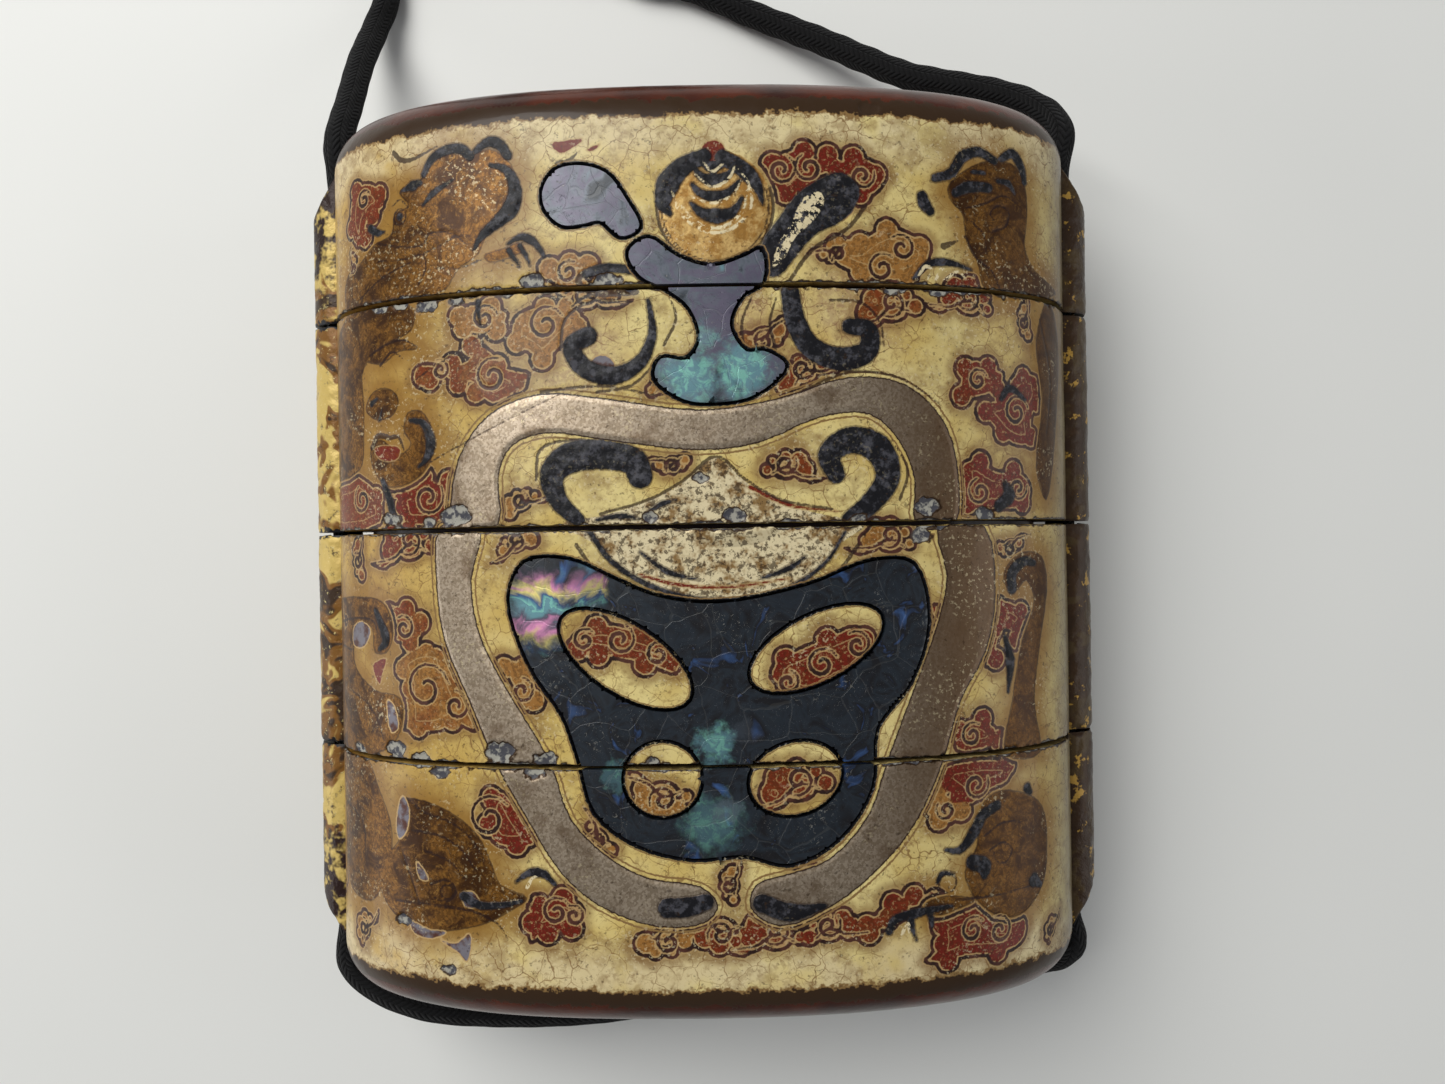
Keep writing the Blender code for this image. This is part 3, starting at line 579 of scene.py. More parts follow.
# Strokes of each layer: widths (mm) at the start, middle and end, then the path in the photograph
STROKES = {"black": [
    # Metal-dust band
    (1.6, 1.6, 1.3, 668, 908, 688, 907, 706, 902),
    (1.5, 1.5, 0.5, 762, 903, 790, 912, 824, 906),
    # Peaked motif over the plaque
    (0.42, 0.42, 0.2, 588, 530, 612, 562, 660, 590, 720, 601, 780, 592, 826, 562, 845, 532),
    (0.2, 0.45, 0.1, 596, 520, 622, 516, 640, 519),
    (0.2, 0.45, 0.1, 648, 512, 662, 504, 676, 500),
    (0.2, 0.45, 0.1, 640, 552, 668, 572, 700, 580),
    (0.2, 0.45, 0.1, 762, 578, 790, 568, 806, 556),
    # Scrolls either side of the peak
    (1.1, 2.5, 2.0, 578, 520, 558, 500, 552, 474, 570, 458, 604, 455, 634, 462, 640, 476),
    (1.4, 2.4, 1.5, 850, 520, 872, 502, 888, 476, 878, 449, 850, 440, 829, 455, 836, 474),
    (0.3, 1.5, 1.5, 648, 300, 652, 334, 640, 362, 612, 376, 582, 366, 572, 346, 588, 336),
    (1.5, 1.9, 1.3, 790, 292, 796, 322, 812, 348, 842, 359, 868, 350, 868, 330, 850, 326),
    (0.7, 0.7, 0.3, 586, 274, 606, 268, 634, 272, 650, 284),
    # Jewel over the lotus
    (1.2, 1.9, 0.4, 704, 156, 682, 167, 668, 184, 663, 203, 670, 214),
    (1.2, 1.3, 0.2, 722, 157, 741, 168, 756, 184, 763, 204),
    (0.3, 1.0, 0.3, 701, 160, 704, 163, 713, 167, 721.5, 163, 724, 160),
    (0.3, 1.0, 0.3, 694, 168, 700.5, 176, 713, 180, 726, 176, 733, 168),
    (0.3, 0.85, 0.3, 692, 184, 699, 192, 712, 196, 728.5, 192, 739, 181),
    (0.3, 1.25, 0.3, 691, 203, 700.5, 212, 716, 216, 732, 212, 742, 198),
    # Dragons in the corners
    (0.5, 0.85, 0.8, 424, 175, 432, 159, 447, 150, 461, 149, 470, 156),
    (0.5, 0.95, 0.7, 476, 151, 488, 142, 500, 145, 508, 156),
    (0.25, 1.45, 0.2, 490, 165, 506, 170, 515, 188, 511, 208, 498, 222, 482, 236, 474, 250),
    (0.1, 0.9, 0.5, 401, 192, 413, 186, 420, 183),
    (0.15, 0.55, 0.15, 423, 206, 434, 193, 453, 180),
    (0.7, 0.6, 0.1, 371, 229, 378, 233, 385, 232),
    (0.2, 0.75, 0.3, 508, 244, 521, 237, 534, 242, 544, 256),
    (0.4, 0.35, 0.1, 520, 246, 526, 256, 530, 266),
    (0.4, 0.35, 0.1, 509, 250, 514, 258, 520, 267),
    (0.5, 0.35, 0.15, 478, 302, 478, 312, 480, 324),
    (0.5, 0.4, 0.1, 372, 404, 378, 398),
    (0.1, 0.3, 0.3, 382, 410, 380, 420),
    (0.3, 0.95, 0.2, 410, 420, 424, 424, 431, 444, 427, 458, 419, 467),
    (0.5, 0.8, 0.6, 383, 481, 391, 504, 394, 522),
    (0.5, 1.0, 0.4, 376, 611, 383, 628, 386, 641, 380, 649),
    (0.2, 0.8, 0.3, 516, 882, 529, 873, 544, 874, 555, 885),
    (0.8, 0.6, 0.3, 464, 896, 480, 905, 502, 905, 522, 901),
    (0.7, 0.95, 0.7, 935, 178, 951, 173, 962, 157, 978, 152, 994, 161),
    (0.6, 0.95, 0.6, 1001, 159, 1012, 154, 1021, 168, 1024, 182),
    (0.7, 0.95, 0.8, 955, 193, 968, 187, 988, 188),
    (0.3, 0.5, 0.3, 972, 172, 984, 173),
    (0.3, 0.6, 0.2, 997, 181, 1008, 184, 1014, 194),
    (0.9, 1.1, 0.8, 922, 196, 924, 203, 930, 211),
    (0.3, 0.7, 0.2, 914, 278, 928, 264, 951, 263, 971, 270),
    (0.5, 0.7, 0.3, 1001, 398, 1009, 388, 1025, 400),
    (0.6, 1.3, 1.0, 1005, 484, 1009, 495, 999, 506),
    (1.0, 1.0, 0.5, 1012, 588, 1012, 573, 1024, 561, 1034, 563),
    (0.3, 1.0, 0.2, 1004, 636, 1010, 660, 1008, 692),
    (0.3, 1.0, 0.8, 946, 850, 960, 850, 974, 832, 983, 815, 997, 805),
    (1.3, 1.4, 0.6, 973, 862, 984, 866, 984, 876),
    (1.2, 1.2, 0.5, 1034, 880, 1040, 884),
    (0.9, 0.9, 0.5, 1027, 788, 1030, 792),
    (0.3, 0.45, 0.2, 938, 882, 942, 874, 954, 874),
    (0.6, 0.8, 0.3, 889, 932, 895, 920, 914, 914, 930, 910, 952, 906),
    (0.6, 0.4, 0.1, 911, 920, 913, 930, 917, 941),
    (0.6, 0.4, 0.1, 929, 912, 932, 922, 932, 930),
], "ink": [
    # Peaked motif over the plaque
    (0.3, 0.3, 0.3, 576, 545, 606, 584, 660, 608, 720, 616, 784, 604, 836, 574, 858, 545),
    (0.22, 0.22, 0.22, 600, 514, 650, 499, 684, 480, 716, 456, 745, 479, 782, 500, 832, 509),
    # Scrolls either side of the peak
    (0.5, 0.5, 0.5, 628, 268, 596, 268, 578, 280, 590, 292, 636, 292),
    (0.22, 0.22, 0.12, 560, 350, 566, 318, 596, 300, 632, 302),
    (0.22, 0.22, 0.12, 664, 345, 676, 318, 668, 294),
    (0.22, 0.22, 0.12, 744, 350, 742, 322, 752, 296),
    (0.22, 0.22, 0.12, 596, 392, 632, 385, 656, 362),
    (0.22, 0.22, 0.12, 776, 350, 770, 322, 776, 298),
    (0.22, 0.22, 0.12, 830, 300, 862, 303, 880, 322, 884, 346),
    (0.22, 0.22, 0.12, 540, 392, 600, 386, 660, 396),
    (0.22, 0.22, 0.12, 800, 392, 850, 372, 900, 378, 940, 404),
    (0.22, 0.22, 0.12, 536, 480, 540, 450, 570, 440, 620, 446, 652, 462),
    (0.22, 0.22, 0.12, 900, 500, 908, 470, 892, 440),
    # Right petal, worn to a dark ground
    (0.3, 0.3, 0.3, 866, 205, 848, 228, 812, 250, 790, 280),
    # Dragons in the corners
    (0.16, 0.16, 0.1, 379, 244, 401, 247, 424, 244, 429, 234, 453, 234, 466, 244),
    (0.4, 0.4, 0.1, 394, 153, 401, 160, 411, 160, 438, 146),
    (0.12, 0.12, 0.1, 392, 207, 400, 200, 410, 209),
    (0.14, 0.14, 0.1, 378, 262, 410, 258, 440, 246, 456, 236),
    (0.14, 0.14, 0.1, 360, 300, 380, 280, 400, 268, 412, 262),
    (0.14, 0.14, 0.1, 424, 254, 426, 268, 418, 286),
    (0.12, 0.12, 0.1, 434, 268, 460, 268, 490, 258, 520, 268),
    (0.3, 0.3, 0.1, 556, 163, 569, 160, 577, 153),
    (0.45, 0.45, 0.1, 372, 448, 378, 436, 390, 438, 398, 437, 405, 453),
    (0.2, 0.2, 0.1, 370, 356, 386, 345, 404, 340, 414, 346),
    (0.2, 0.2, 0.1, 380, 366, 392, 352, 402, 358),
    (0.2, 0.2, 0.1, 407, 798, 424, 812, 450, 822, 472, 840, 484, 860),
    (0.2, 0.2, 0.1, 412, 830, 440, 836, 462, 850, 476, 872),
    (0.18, 0.18, 0.1, 402, 850, 412, 880, 420, 905),
    (0.18, 0.18, 0.1, 424, 850, 450, 862, 466, 880),
    (0.2, 0.2, 0.1, 396, 900, 440, 906, 476, 912, 500, 926, 508, 940),
    (0.2, 0.2, 0.1, 430, 884, 448, 880, 456, 892, 446, 902, 432, 896),
    (0.2, 0.2, 0.1, 965, 236, 976, 258, 992, 272, 1000, 290),
    (0.18, 0.18, 0.1, 992, 232, 1006, 226, 1008, 212, 998, 206, 990, 214, 996, 222),
    (0.16, 0.16, 0.1, 966, 208, 984, 204, 1004, 196, 1016, 204),
    (0.16, 0.16, 0.1, 972, 222, 984, 236, 986, 252),
    (0.6, 0.6, 0.1, 944, 246, 958, 241),
    (0.16, 0.16, 0.1, 990, 850, 1004, 842, 1012, 850, 1006, 862, 996, 860, 994, 852),
    (0.16, 0.16, 0.1, 984, 836, 1004, 822, 1024, 822),
    (0.2, 0.2, 0.1, 956, 900, 990, 896, 1030, 886),
    (0.2, 0.2, 0.1, 1040, 320, 1050, 380, 1046, 440),
    (0.2, 0.2, 0.1, 352, 650, 350, 630, 360, 618, 374, 622, 378, 634),
    (0.18, 0.18, 0.1, 352, 690, 366, 702, 378, 720, 384, 740),
    (0.18, 0.18, 0.1, 352, 780, 362, 820, 366, 860),
    # Scratches
    (0.09, 0.09, 0.09, 430, 462, 500, 424, 560, 394),
    (0.09, 0.09, 0.09, 415, 380, 490, 330),
], "red": [
    # Peaked motif over the plaque
    (0.25, 0.25, 0.1, 640, 575, 680, 585, 730, 587, 790, 578),
    (0.3, 0.3, 0.1, 750, 487, 790, 505, 838, 511),
], "gold": [
    # Jewel over the lotus
    (0.14, 0.28, 0.14, 703, 162, 713, 171, 724, 163),
    (0.14, 0.28, 0.14, 694, 173, 712, 187, 729, 178, 735, 166),
    (0.14, 0.28, 0.14, 690, 196, 712, 203, 731, 196, 742, 180),
    (0.14, 0.28, 0.14, 679, 203, 698, 223, 719, 228, 742, 212, 747, 190),
    (0.14, 0.28, 0.14, 672, 190, 680, 213, 707, 232, 733, 228, 751, 206, 748, 182, 738, 169),
    # Dragons in the corners
    (0.26, 0.26, 0.12, 917, 279, 926, 266, 932, 270, 926, 281),
    (0.26, 0.26, 0.12, 936, 279, 942, 269, 948, 272),
    (0.26, 0.26, 0.12, 944, 281, 957, 272, 968, 280),
    (0.26, 0.26, 0.12, 527, 888, 534, 877, 543, 884),
    (0.26, 0.26, 0.12, 902, 934, 908, 924, 910, 940),
], "curl": [
    # Peaked motif over the plaque
    (0.18, 0.18, 0.18, 668, 531, 690, 548, 730, 553, 770, 548, 792, 531),
]}

# Round marks: layer, place in the photograph and radius (mm)
DISCS = [("amber", (715, 207), 4.65), ("red", (713, 152), 0.95), ("ash", (602, 368), 1.0),
         ("black", (400, 217), 0.3)]

# Ink rings: place in the photograph, radius and width (mm), and first turn, last turn (radians) and points
RINGS = [((715, 207), 4.72, 0.24, (-3.5, 0.35, 25)), ((715, 207), 4.35, 0.12, (-3.5, 0.35, 25)),
         ((400, 217), 0.65, 0.14, (0, 6.3, 15)), ((948, 883), 0.8, 0.14, (0, 6.3, 15)),
         ((447, 892), 0.6, 0.14, (0, 6.3, 15))]


def draw_marks(surface):
    """Every filled mark and stroke on the face but the clouds."""
    for layer, outlines in FILLS.items():
        for outline in outlines:
            surface.fill(layer, face_path(outline), steps=3 if layer in ("band", "ivory") else 4)
    for layer, strokes in STROKES.items():
        for start, middle, end, *path in strokes:
            surface.stroke(layer, face_path(path), middle * MM, end_width=end * MM, start_width=start * MM)
    for layer, place, radius in DISCS:
        surface.disc(layer, on_face(*place), radius * MM)
    for place, reach, width, turns in RINGS:
        spokes = [np.array((math.cos(turn), math.sin(turn))) for turn in np.linspace(*turns)]
        ring = [on_face(*place) + reach * MM * spoke for spoke in spokes]
        surface.stroke("ink", ring, width * MM, steps=1)


def flame(surface, root, tip, bend, width):
    """One lock of mane or flame, thick at its root and drawn to a point."""
    root, tip = np.array(root), np.array(tip)
    side = np.array((-(tip - root)[1], (tip - root)[0])) * bend
    surface.stroke("black", [root, 0.55 * root + 0.45 * tip + side, tip], width * 0.8,
                   start_width=width, end_width=0.05 * MM)


def dragon_head(surface, place, size, turn, hand):
    """A generic dragon's head in gold for the back: skull, snout, horns, mane and whiskers."""
    lean = math.radians(turn)
    along = np.array((math.cos(lean), math.sin(lean))) * size * MM
    over = np.array((-math.sin(lean), math.cos(lean))) * size * MM * hand
    place = np.array(place)

    def at(a, b):
        return place + a * along + b * over

    surface.fill("hide", [at(-1.25, 0.05), at(-0.9, 0.42), at(-0.35, 0.55), at(0.25, 0.8), at(0.85, 0.55),
                          at(1.0, 0.0), at(0.8, -0.6), at(0.2, -0.75), at(-0.4, -0.45), at(-0.95, -0.4)])
    for start, end, bend, width in (((0.5, 0.75), (1.15, 0.95), 0.3, 0.3),
                                    ((0.85, 0.5), (1.5, 0.45), -0.25, 0.36),
                                    ((0.95, 0.1), (1.55, -0.1), 0.25, 0.36),
                                    ((0.85, -0.3), (1.4, -0.6), -0.2, 0.34),
                                    ((0.5, -0.6), (0.95, -1.05), 0.2, 0.28),
                                    ((0.0, 0.7), (0.5, 1.1), 0.35, 0.26)):
        flame(surface, at(*start), at(*end), bend, width * size * MM)
    surface.stroke("black", [at(-0.3, 0.6), at(-0.62, 0.72), at(-0.9, 0.55), at(-1.0, 0.4)], 0.17 * size * MM,
                   end_width=0.05 * size * MM)
    surface.disc("ivory", at(-0.2, 0.2), 0.1 * size * MM)
    surface.disc("black", at(-0.2, 0.2), 0.05 * size * MM)
    surface.stroke("ink", [at(-1.2, -0.1), at(-0.8, -0.16), at(-0.35, -0.12), at(0.1, -0.3), at(0.3, -0.55)],
                   0.2 * MM, end_width=0.1 * MM)
    surface.stroke("ink", spiral(at(0.35, 0.05), 0.3 * size * MM, 1.3, 2.0, -hand), 0.13 * MM, steps=1)


def dragon_body(surface, path, width, hand=1):
    """A winding body in gold with rows of scale arcs and a dark crest."""
    points = smooth_open(path, 8)
    surface.stroke("hide", points, width, end_width=width * 0.45, steps=1)
    steps = np.hypot(*np.diff(points, axis=0).T)
    walked = np.concatenate(([0.0], np.cumsum(steps)))
    along = 0.6 * MM
    row = 0
    while along < walked[-1] - 0.6 * MM:
        share = along / walked[-1]
        here = np.array([np.interp(along, walked, points[:, k]) for k in (0, 1)])
        ahead = np.array([np.interp(along + 0.3 * MM, walked, points[:, k]) for k in (0, 1)])
        forward = (ahead - here) / max(np.linalg.norm(ahead - here), 1e-9)
        side = np.array((-forward[1], forward[0])) * hand
        half = width / 2 * (1 if share < 0.5 else 1 - 1.1 * (share - 0.5))
        for lane in (-0.5, 0.05) if row % 2 else (-0.75, -0.22, 0.3):
            middle = here + side * half * lane
            reach = 0.27 * half
            arc = [middle - side * reach, middle + forward * reach * 1.1, middle + side * reach]
            surface.stroke("ink", arc, 0.1 * MM)
        if row % 3 == 0:
            tip = here + side * (half + 0.9 * MM) + forward * 0.8 * MM
            flame(surface, here + side * half * 0.9, tip, 0.2, 0.5 * MM)
        along += 0.75 * MM
        row += 1


def tail_curl(surface, place, size, turn, hand=1):
    """A curled tail with a dark stripe on its back."""
    lean = math.radians(turn)
    wind = spiral(place, size * MM, 1.1, lean, hand, inner=0.25)
    surface.stroke("hide", wind, 0.85 * size * MM, end_width=0.3 * size * MM, steps=1)
    outer = [np.array(place) + (p - np.array(place)) * 1.22 for p in wind[1:9]]
    surface.stroke("black", outer, 0.32 * size * MM, end_width=0.05 * MM, start_width=0.05 * MM, steps=1)
    surface.stroke("ink", [np.array(place) + (p - np.array(place)) * 0.7 for p in wind], 0.14 * MM, steps=1)


def draw_clouds(surface):
    """Every cloud on the face."""
    for tone, *outline in CLOUD_SHAPES:
        path = face_path(outline)
        surface.fill("cloud", path, tone=tone)
        centre = np.mean(path, axis=0)
        for spot in path[::2]:
            surface.disc("cloud", spot + 0.2 * (centre - spot), 1.2 * MM, tone)
    for place, size, turn, tone, hand in CLOUDS:
        cloud(surface, on_face(*place), size * MM, turn, tone, hand=hand)
    for place, radius, start, hand in CURLS:
        curl(surface, on_face(*place), radius * MM, start, hand)


def draw_back(surface):
    """The unseen sides and back, plainer: dragons winding among clouds."""
    for index in range(35):
        column, row = index % 7, index // 7
        around = SIDE_MIDDLE + (0.6 + column) * 2 * (HALF_GIRTH - SIDE_MIDDLE) / 7
        around = around - 2 * HALF_GIRTH if around > HALF_GIRTH else around
        along = -0.031 + row * 0.0148 + 0.004 * math.sin(2.3 * index)
        size = 2.7 + 0.9 * math.sin(1.9 * index + 1)
        cloud(surface, (around, along), size * MM, 37 * index % 360, 0.3 + 0.6 * (index * 7 % 5) / 5,
              hand=1 if index % 2 else -1)
    left, right = -HALF_GIRTH, HALF_GIRTH
    dragon_head(surface, (right - 0.012, 0.017), 6.0, -20, 1)
    dragon_body(surface, [(right - 0.016, 0.012), (right - 0.022, 0.0), (right - 0.012, -0.010),
                          (right - 0.004, -0.018), (right - 0.002, -0.026)], 6.5 * MM, 1)
    dragon_head(surface, (left + 0.012, -0.014), 5.6, 160, -1)
    dragon_body(surface, [(left + 0.016, -0.008), (left + 0.022, 0.004), (left + 0.012, 0.014),
                          (left + 0.003, 0.024)], 6.0 * MM, -1)
    for side in (-1, 1):
        for row in range(4):
            tail_curl(surface, (side * (SIDE_MIDDLE + 0.0075), -0.027 + row * 0.018), 1.9, 60 * row, side)


def draw_pockets(surface):
    """Where the shells are let in: distance outside each inlay."""
    for outline, openings in ((PETAL, []), (CREST, []), (PLAQUE, PLAQUE_OPENINGS)):
        points = smooth_closed([(x_to_around(x * MM), y * MM) for x, y in outline], 4)
        chosen = surface.near(points, MARK_REACH)
        if not len(chosen):
            continue
        distance = outline_distance(surface.u[chosen], surface.v[chosen], points)
        for opening in openings:
            hole = np.array([(x_to_around(x), y) for x, y in opening_points(opening)])
            distance = np.maximum(distance, -outline_distance(surface.u[chosen], surface.v[chosen], hole))
        surface.lay("pocket", chosen, distance, None)


def opening_points(opening, steps=28):
    """Points round one of the plaque's oval openings."""
    centre_x, centre_y, half_length, half_width, turn = opening
    lean = math.radians(turn)
    points = []
    for step in range(steps):
        angle = 2 * math.pi * step / steps
        u = half_length * MM * math.cos(angle)
        v = half_width * MM * math.sin(angle)
        points.append((centre_x * MM + u * math.cos(lean) - v * math.sin(lean),
                       centre_y * MM + u * math.sin(lean) + v * math.cos(lean)))
    return points


def draw_losses(surface, seams):
    """Chips and worn edges along the shut lines."""
    for place, size in CHIPS:
        surface.disc("loss", on_face(*place), size * MM, squash=0.62)
    worn = rough_noise(surface.u, surface.v, 1.1 * MM, 11)
    for seam in seams:
        edge = np.abs(surface.v - seam) - (0.1 + 0.42 * np.maximum(worn, 0) ** 1.5) * MM
        surface.layers["loss"] = np.minimum(surface.layers["loss"], edge + 0.06 * MM)
    surface.layers["loss"] += 0.28 * MM * rough_noise(surface.u, surface.v, 0.5 * MM, 5)


def draw_everything(surface, seams):
    """All marks on one piece, the later ones keeping clear of the earlier."""
    draw_pockets(surface)
    draw_marks(surface)
    draw_clouds(surface)
    draw_back(surface)
    draw_losses(surface, seams)
    for layer in ("cloud", "curl", "hide"):
        surface.cut(layer, "band", 0.25 * MM)
        surface.cut(layer, "ivory", 0.2 * MM)
    surface.cut("cloud", "hide", 0.2 * MM)
    surface.cut("cloud", "amber", 0.25 * MM)
    surface.cut("hide", "amber", 0.25 * MM)


# Steps that several pieces share
def deselect():
    """Leave nothing selected."""
    for scene_object in bpy.context.view_layer.objects:
        scene_object.select_set(False)


def pick(piece):
    """Select one piece alone and make it active."""
    deselect()
    piece.select_set(True)
    bpy.context.view_layer.objects.active = piece


def in_edit_mode(piece, *steps):
    """Run edit-mode steps on all of a piece."""
    pick(piece)
    bpy.ops.object.mode_set(mode="EDIT")
    bpy.ops.mesh.select_all(action="SELECT")
    for step in steps:
        step()
    bpy.ops.object.mode_set(mode="OBJECT")


def apply_modifiers(piece):
    """Apply every modifier of a piece."""
    pick(piece)
    for modifier in list(piece.modifiers):
        bpy.ops.object.modifier_apply(modifier=modifier.name)


def grid_sheet(name, columns, rows):
    """Add a flat grid and give it back with each point's column and row."""
    deselect()
    bpy.ops.mesh.primitive_grid_add(x_subdivisions=columns, y_subdivisions=rows, size=1.0)
    piece = bpy.context.object
    piece.name = name
    piece.data.name = name
    flat = read_points(piece)
    column = np.rint((flat[:, 0] + 0.5) * columns).astype(int)
    row = np.rint((flat[:, 1] + 0.5) * rows).astype(int)
    return piece, column, row


def read_points(piece):
    """The piece's points as an array."""
    points = np.empty(len(piece.data.vertices) * 3, np.float32)
    piece.data.vertices.foreach_get("co", points)
    return points.reshape(-1, 3).astype(float)


def write_points(piece, points):
    """Move the piece's points."""
    piece.data.vertices.foreach_set("co", np.asarray(points, np.float32).ravel())
    piece.data.update()


def write_attribute(piece, name, values):
    """Keep one number at each point of the piece."""
    layer = piece.data.attributes.new(name, "FLOAT", "POINT")
    layer.data.foreach_set("value", np.asarray(values, np.float32))


def shade(piece, smooth_angle):
    """Shade a piece smooth, but for edges sharper than an angle (degrees)."""
    pick(piece)
    bpy.ops.object.shade_smooth_by_angle(angle=math.radians(smooth_angle))


def close_seams(piece, smooth_angle=40.0):
    """Merge the sheet's meeting edges and poles, and shade it."""
    in_edit_mode(piece, lambda: bpy.ops.mesh.remove_doubles(threshold=1e-6),
                 lambda: bpy.ops.mesh.dissolve_degenerate(threshold=1e-7))
    shade(piece, smooth_angle)


def thicken(piece, thickness, smooth_angle, bevel=0.0):
    """Give a sheet its thickness inwards and a bevelled edge, turn its faces out and shade it."""
    wall = piece.modifiers.new("wall", "SOLIDIFY")
    wall.thickness = thickness
    wall.offset = -1.0
    if bevel:
        edge = piece.modifiers.new("edge", "BEVEL")
        edge.width = bevel
        edge.segments = 1
        edge.angle_limit = math.radians(60)
    apply_modifiers(piece)
    face_out(piece)
    shade(piece, smooth_angle)


def face_out(piece):
    """Turn the faces of a closed piece outwards."""
    in_edit_mode(piece, lambda: bpy.ops.mesh.normals_make_consistent(inside=False))


def inside(field, soft):
    """From 0 outside a mark to 1 inside it."""
    return np.clip(0.5 - field / soft, 0, 1)


def column_places():
    """Distances round the body for the columns of the painted sheet, from the back seam round to it."""
    face_edge = SIDE_MIDDLE - 0.0065
    fine = np.arange(0, face_edge, FRONT_STEP)
    side = np.arange(face_edge, SIDE_MIDDLE + SIDE_REACH, SIDE_STEP)
    back_steps = round((HALF_GIRTH - SIDE_MIDDLE - SIDE_REACH) / BACK_STEP)
    back = np.linspace(SIDE_MIDDLE + SIDE_REACH, HALF_GIRTH, 1 + back_steps)
    half = np.concatenate((fine, side, back))
    return np.concatenate((-half[:0:-1], half))


def straight_rows(first, last):
    """Rows of the straight outer side."""
    count = max(1, math.ceil((last - first) / ROW_STEP))
    return [(HALF_WIDTH, HALF_DEPTH, y, y, 0.0, 1) for y in np.linspace(first, last, count + 1)]


def rounded_rows(end_y, direction):
    """Rows from the middle of an end out over its rounded edge, up to the straight side."""
    rows = []
    flat = (HALF_WIDTH - END_ROUND, HALF_DEPTH - END_ROUND)
    shoulder = abs(end_y) - END_ROUND
    for index in range(END_RINGS):
        share = index / END_RINGS
        along = shoulder + END_ROUND * math.pi / 2 + (1 - share) * flat[1]
        rows.append((flat[0] * share, flat[1] * share, end_y, direction * along, direction * math.pi / 2, 1))
    count = math.ceil(END_ROUND * math.pi / 2 / ROW_STEP)
    for index in range(count):
        turn = math.pi / 2 * (1 - index / count)
        inset = END_ROUND * (1 - math.cos(turn))
        rows.append((HALF_WIDTH - inset, HALF_DEPTH - inset,
                     direction * (shoulder + END_ROUND * math.sin(turn)),
                     direction * (shoulder + END_ROUND * turn), direction * turn, 1))
    return rows


def top_rows(top, floor):
    """Rows over a worn shut edge, up the riser and down the hollow to its floor."""
    return [(HALF_WIDTH - EDGE_WEAR, HALF_DEPTH - EDGE_WEAR, top, top, 0.8, 1), (*RISER, top, top, 0.0, 0),
            (*RISER, top + RISER_HEIGHT, top, 0.0, 0), (*CAVITY, top + RISER_HEIGHT, top, 0.0, 0),
            (*CAVITY, floor, top, 0.0, 0), (0.0, 0.0, floor, top, 0.0, 0)]


def skirt_rows(bottom):
    """Rows out of the recess under a piece and over its worn shut edge."""
    return [(*RECESS, bottom + RECESS_DEPTH, bottom, 0.0, 0), (*RECESS, bottom, bottom, 0.0, 0),
            (HALF_WIDTH - EDGE_WEAR, HALF_DEPTH - EDGE_WEAR, bottom, bottom, -0.8, 1)]


def case_rows(name):
    """All rows of one of the four pieces, from one pole to the other, and its shut lines."""
    if name == "lower_case":
        rows = rounded_rows(BASE_END, -1) + straight_rows(BASE_END + END_ROUND, LOWER_TOP - EDGE_WEAR)
        return rows + top_rows(LOWER_TOP, BASE_END + END_THICKNESS), [LOWER_TOP]
    if name == "lid":
        hollow = LID_END - END_THICKNESS
        rows = [(0.0, 0.0, hollow, LID_BOTTOM, 0.0, 0), (*CAVITY, hollow, LID_BOTTOM, 0.0, 0),
                (*CAVITY, LID_BOTTOM + RECESS_DEPTH, LID_BOTTOM, 0.0, 0)] + skirt_rows(LID_BOTTOM)
        rows += straight_rows(LID_BOTTOM + EDGE_WEAR, LID_END - END_ROUND)
        return rows + rounded_rows(LID_END, 1)[::-1], [LID_BOTTOM]
    bottom, top = (MIDDLE_BOTTOM, MIDDLE_TOP) if name == "middle_case" else (UPPER_BOTTOM, UPPER_TOP)
    rows = [(0.0, 0.0, bottom + RECESS_DEPTH, bottom, 0.0, 0)] + skirt_rows(bottom)
    rows += straight_rows(bottom + EDGE_WEAR, top - EDGE_WEAR)
    return rows + top_rows(top, bottom + RECESS_DEPTH + FLOOR_THICKNESS), [bottom, top]


def relief(surface):
    """How far the surface stands out or is cut in, from the marks on it."""
    layers = surface.layers
    height = 0.02 * MM * inside(layers["hide"], 0.3 * MM) + 0.01 * MM * inside(layers["cloud"], 0.2 * MM)
    height -= 0.03 * MM * inside(layers["curl"], 0.15 * MM) + 0.03 * MM * inside(layers["ink"], 0.15 * MM)
    rock = rough_noise(surface.u, surface.v, 0.9 * MM, 31)
    height += inside(layers["black"] + 0.2 * MM, 0.25 * MM) * (0.04 + 0.1 * rock) * MM
    height += 0.06 * MM * inside(layers["band"], 0.35 * MM)
    height -= 0.06 * MM * np.exp(-(layers["band"] / (0.13 * MM)) ** 2)
    height += 0.012 * MM * rough_noise(surface.u, surface.v, 1.6 * MM, 7)
    height += 0.035 * MM * value_noise(surface.u, surface.v, 9 * MM, 17)
    height -= 0.16 * MM * inside(layers["loss"], 0.22 * MM) * (1 + 0.5 * rock)
    height -= 0.8 * MM * inside(layers["pocket"] - 0.14 * MM, 0.16 * MM)
    return height


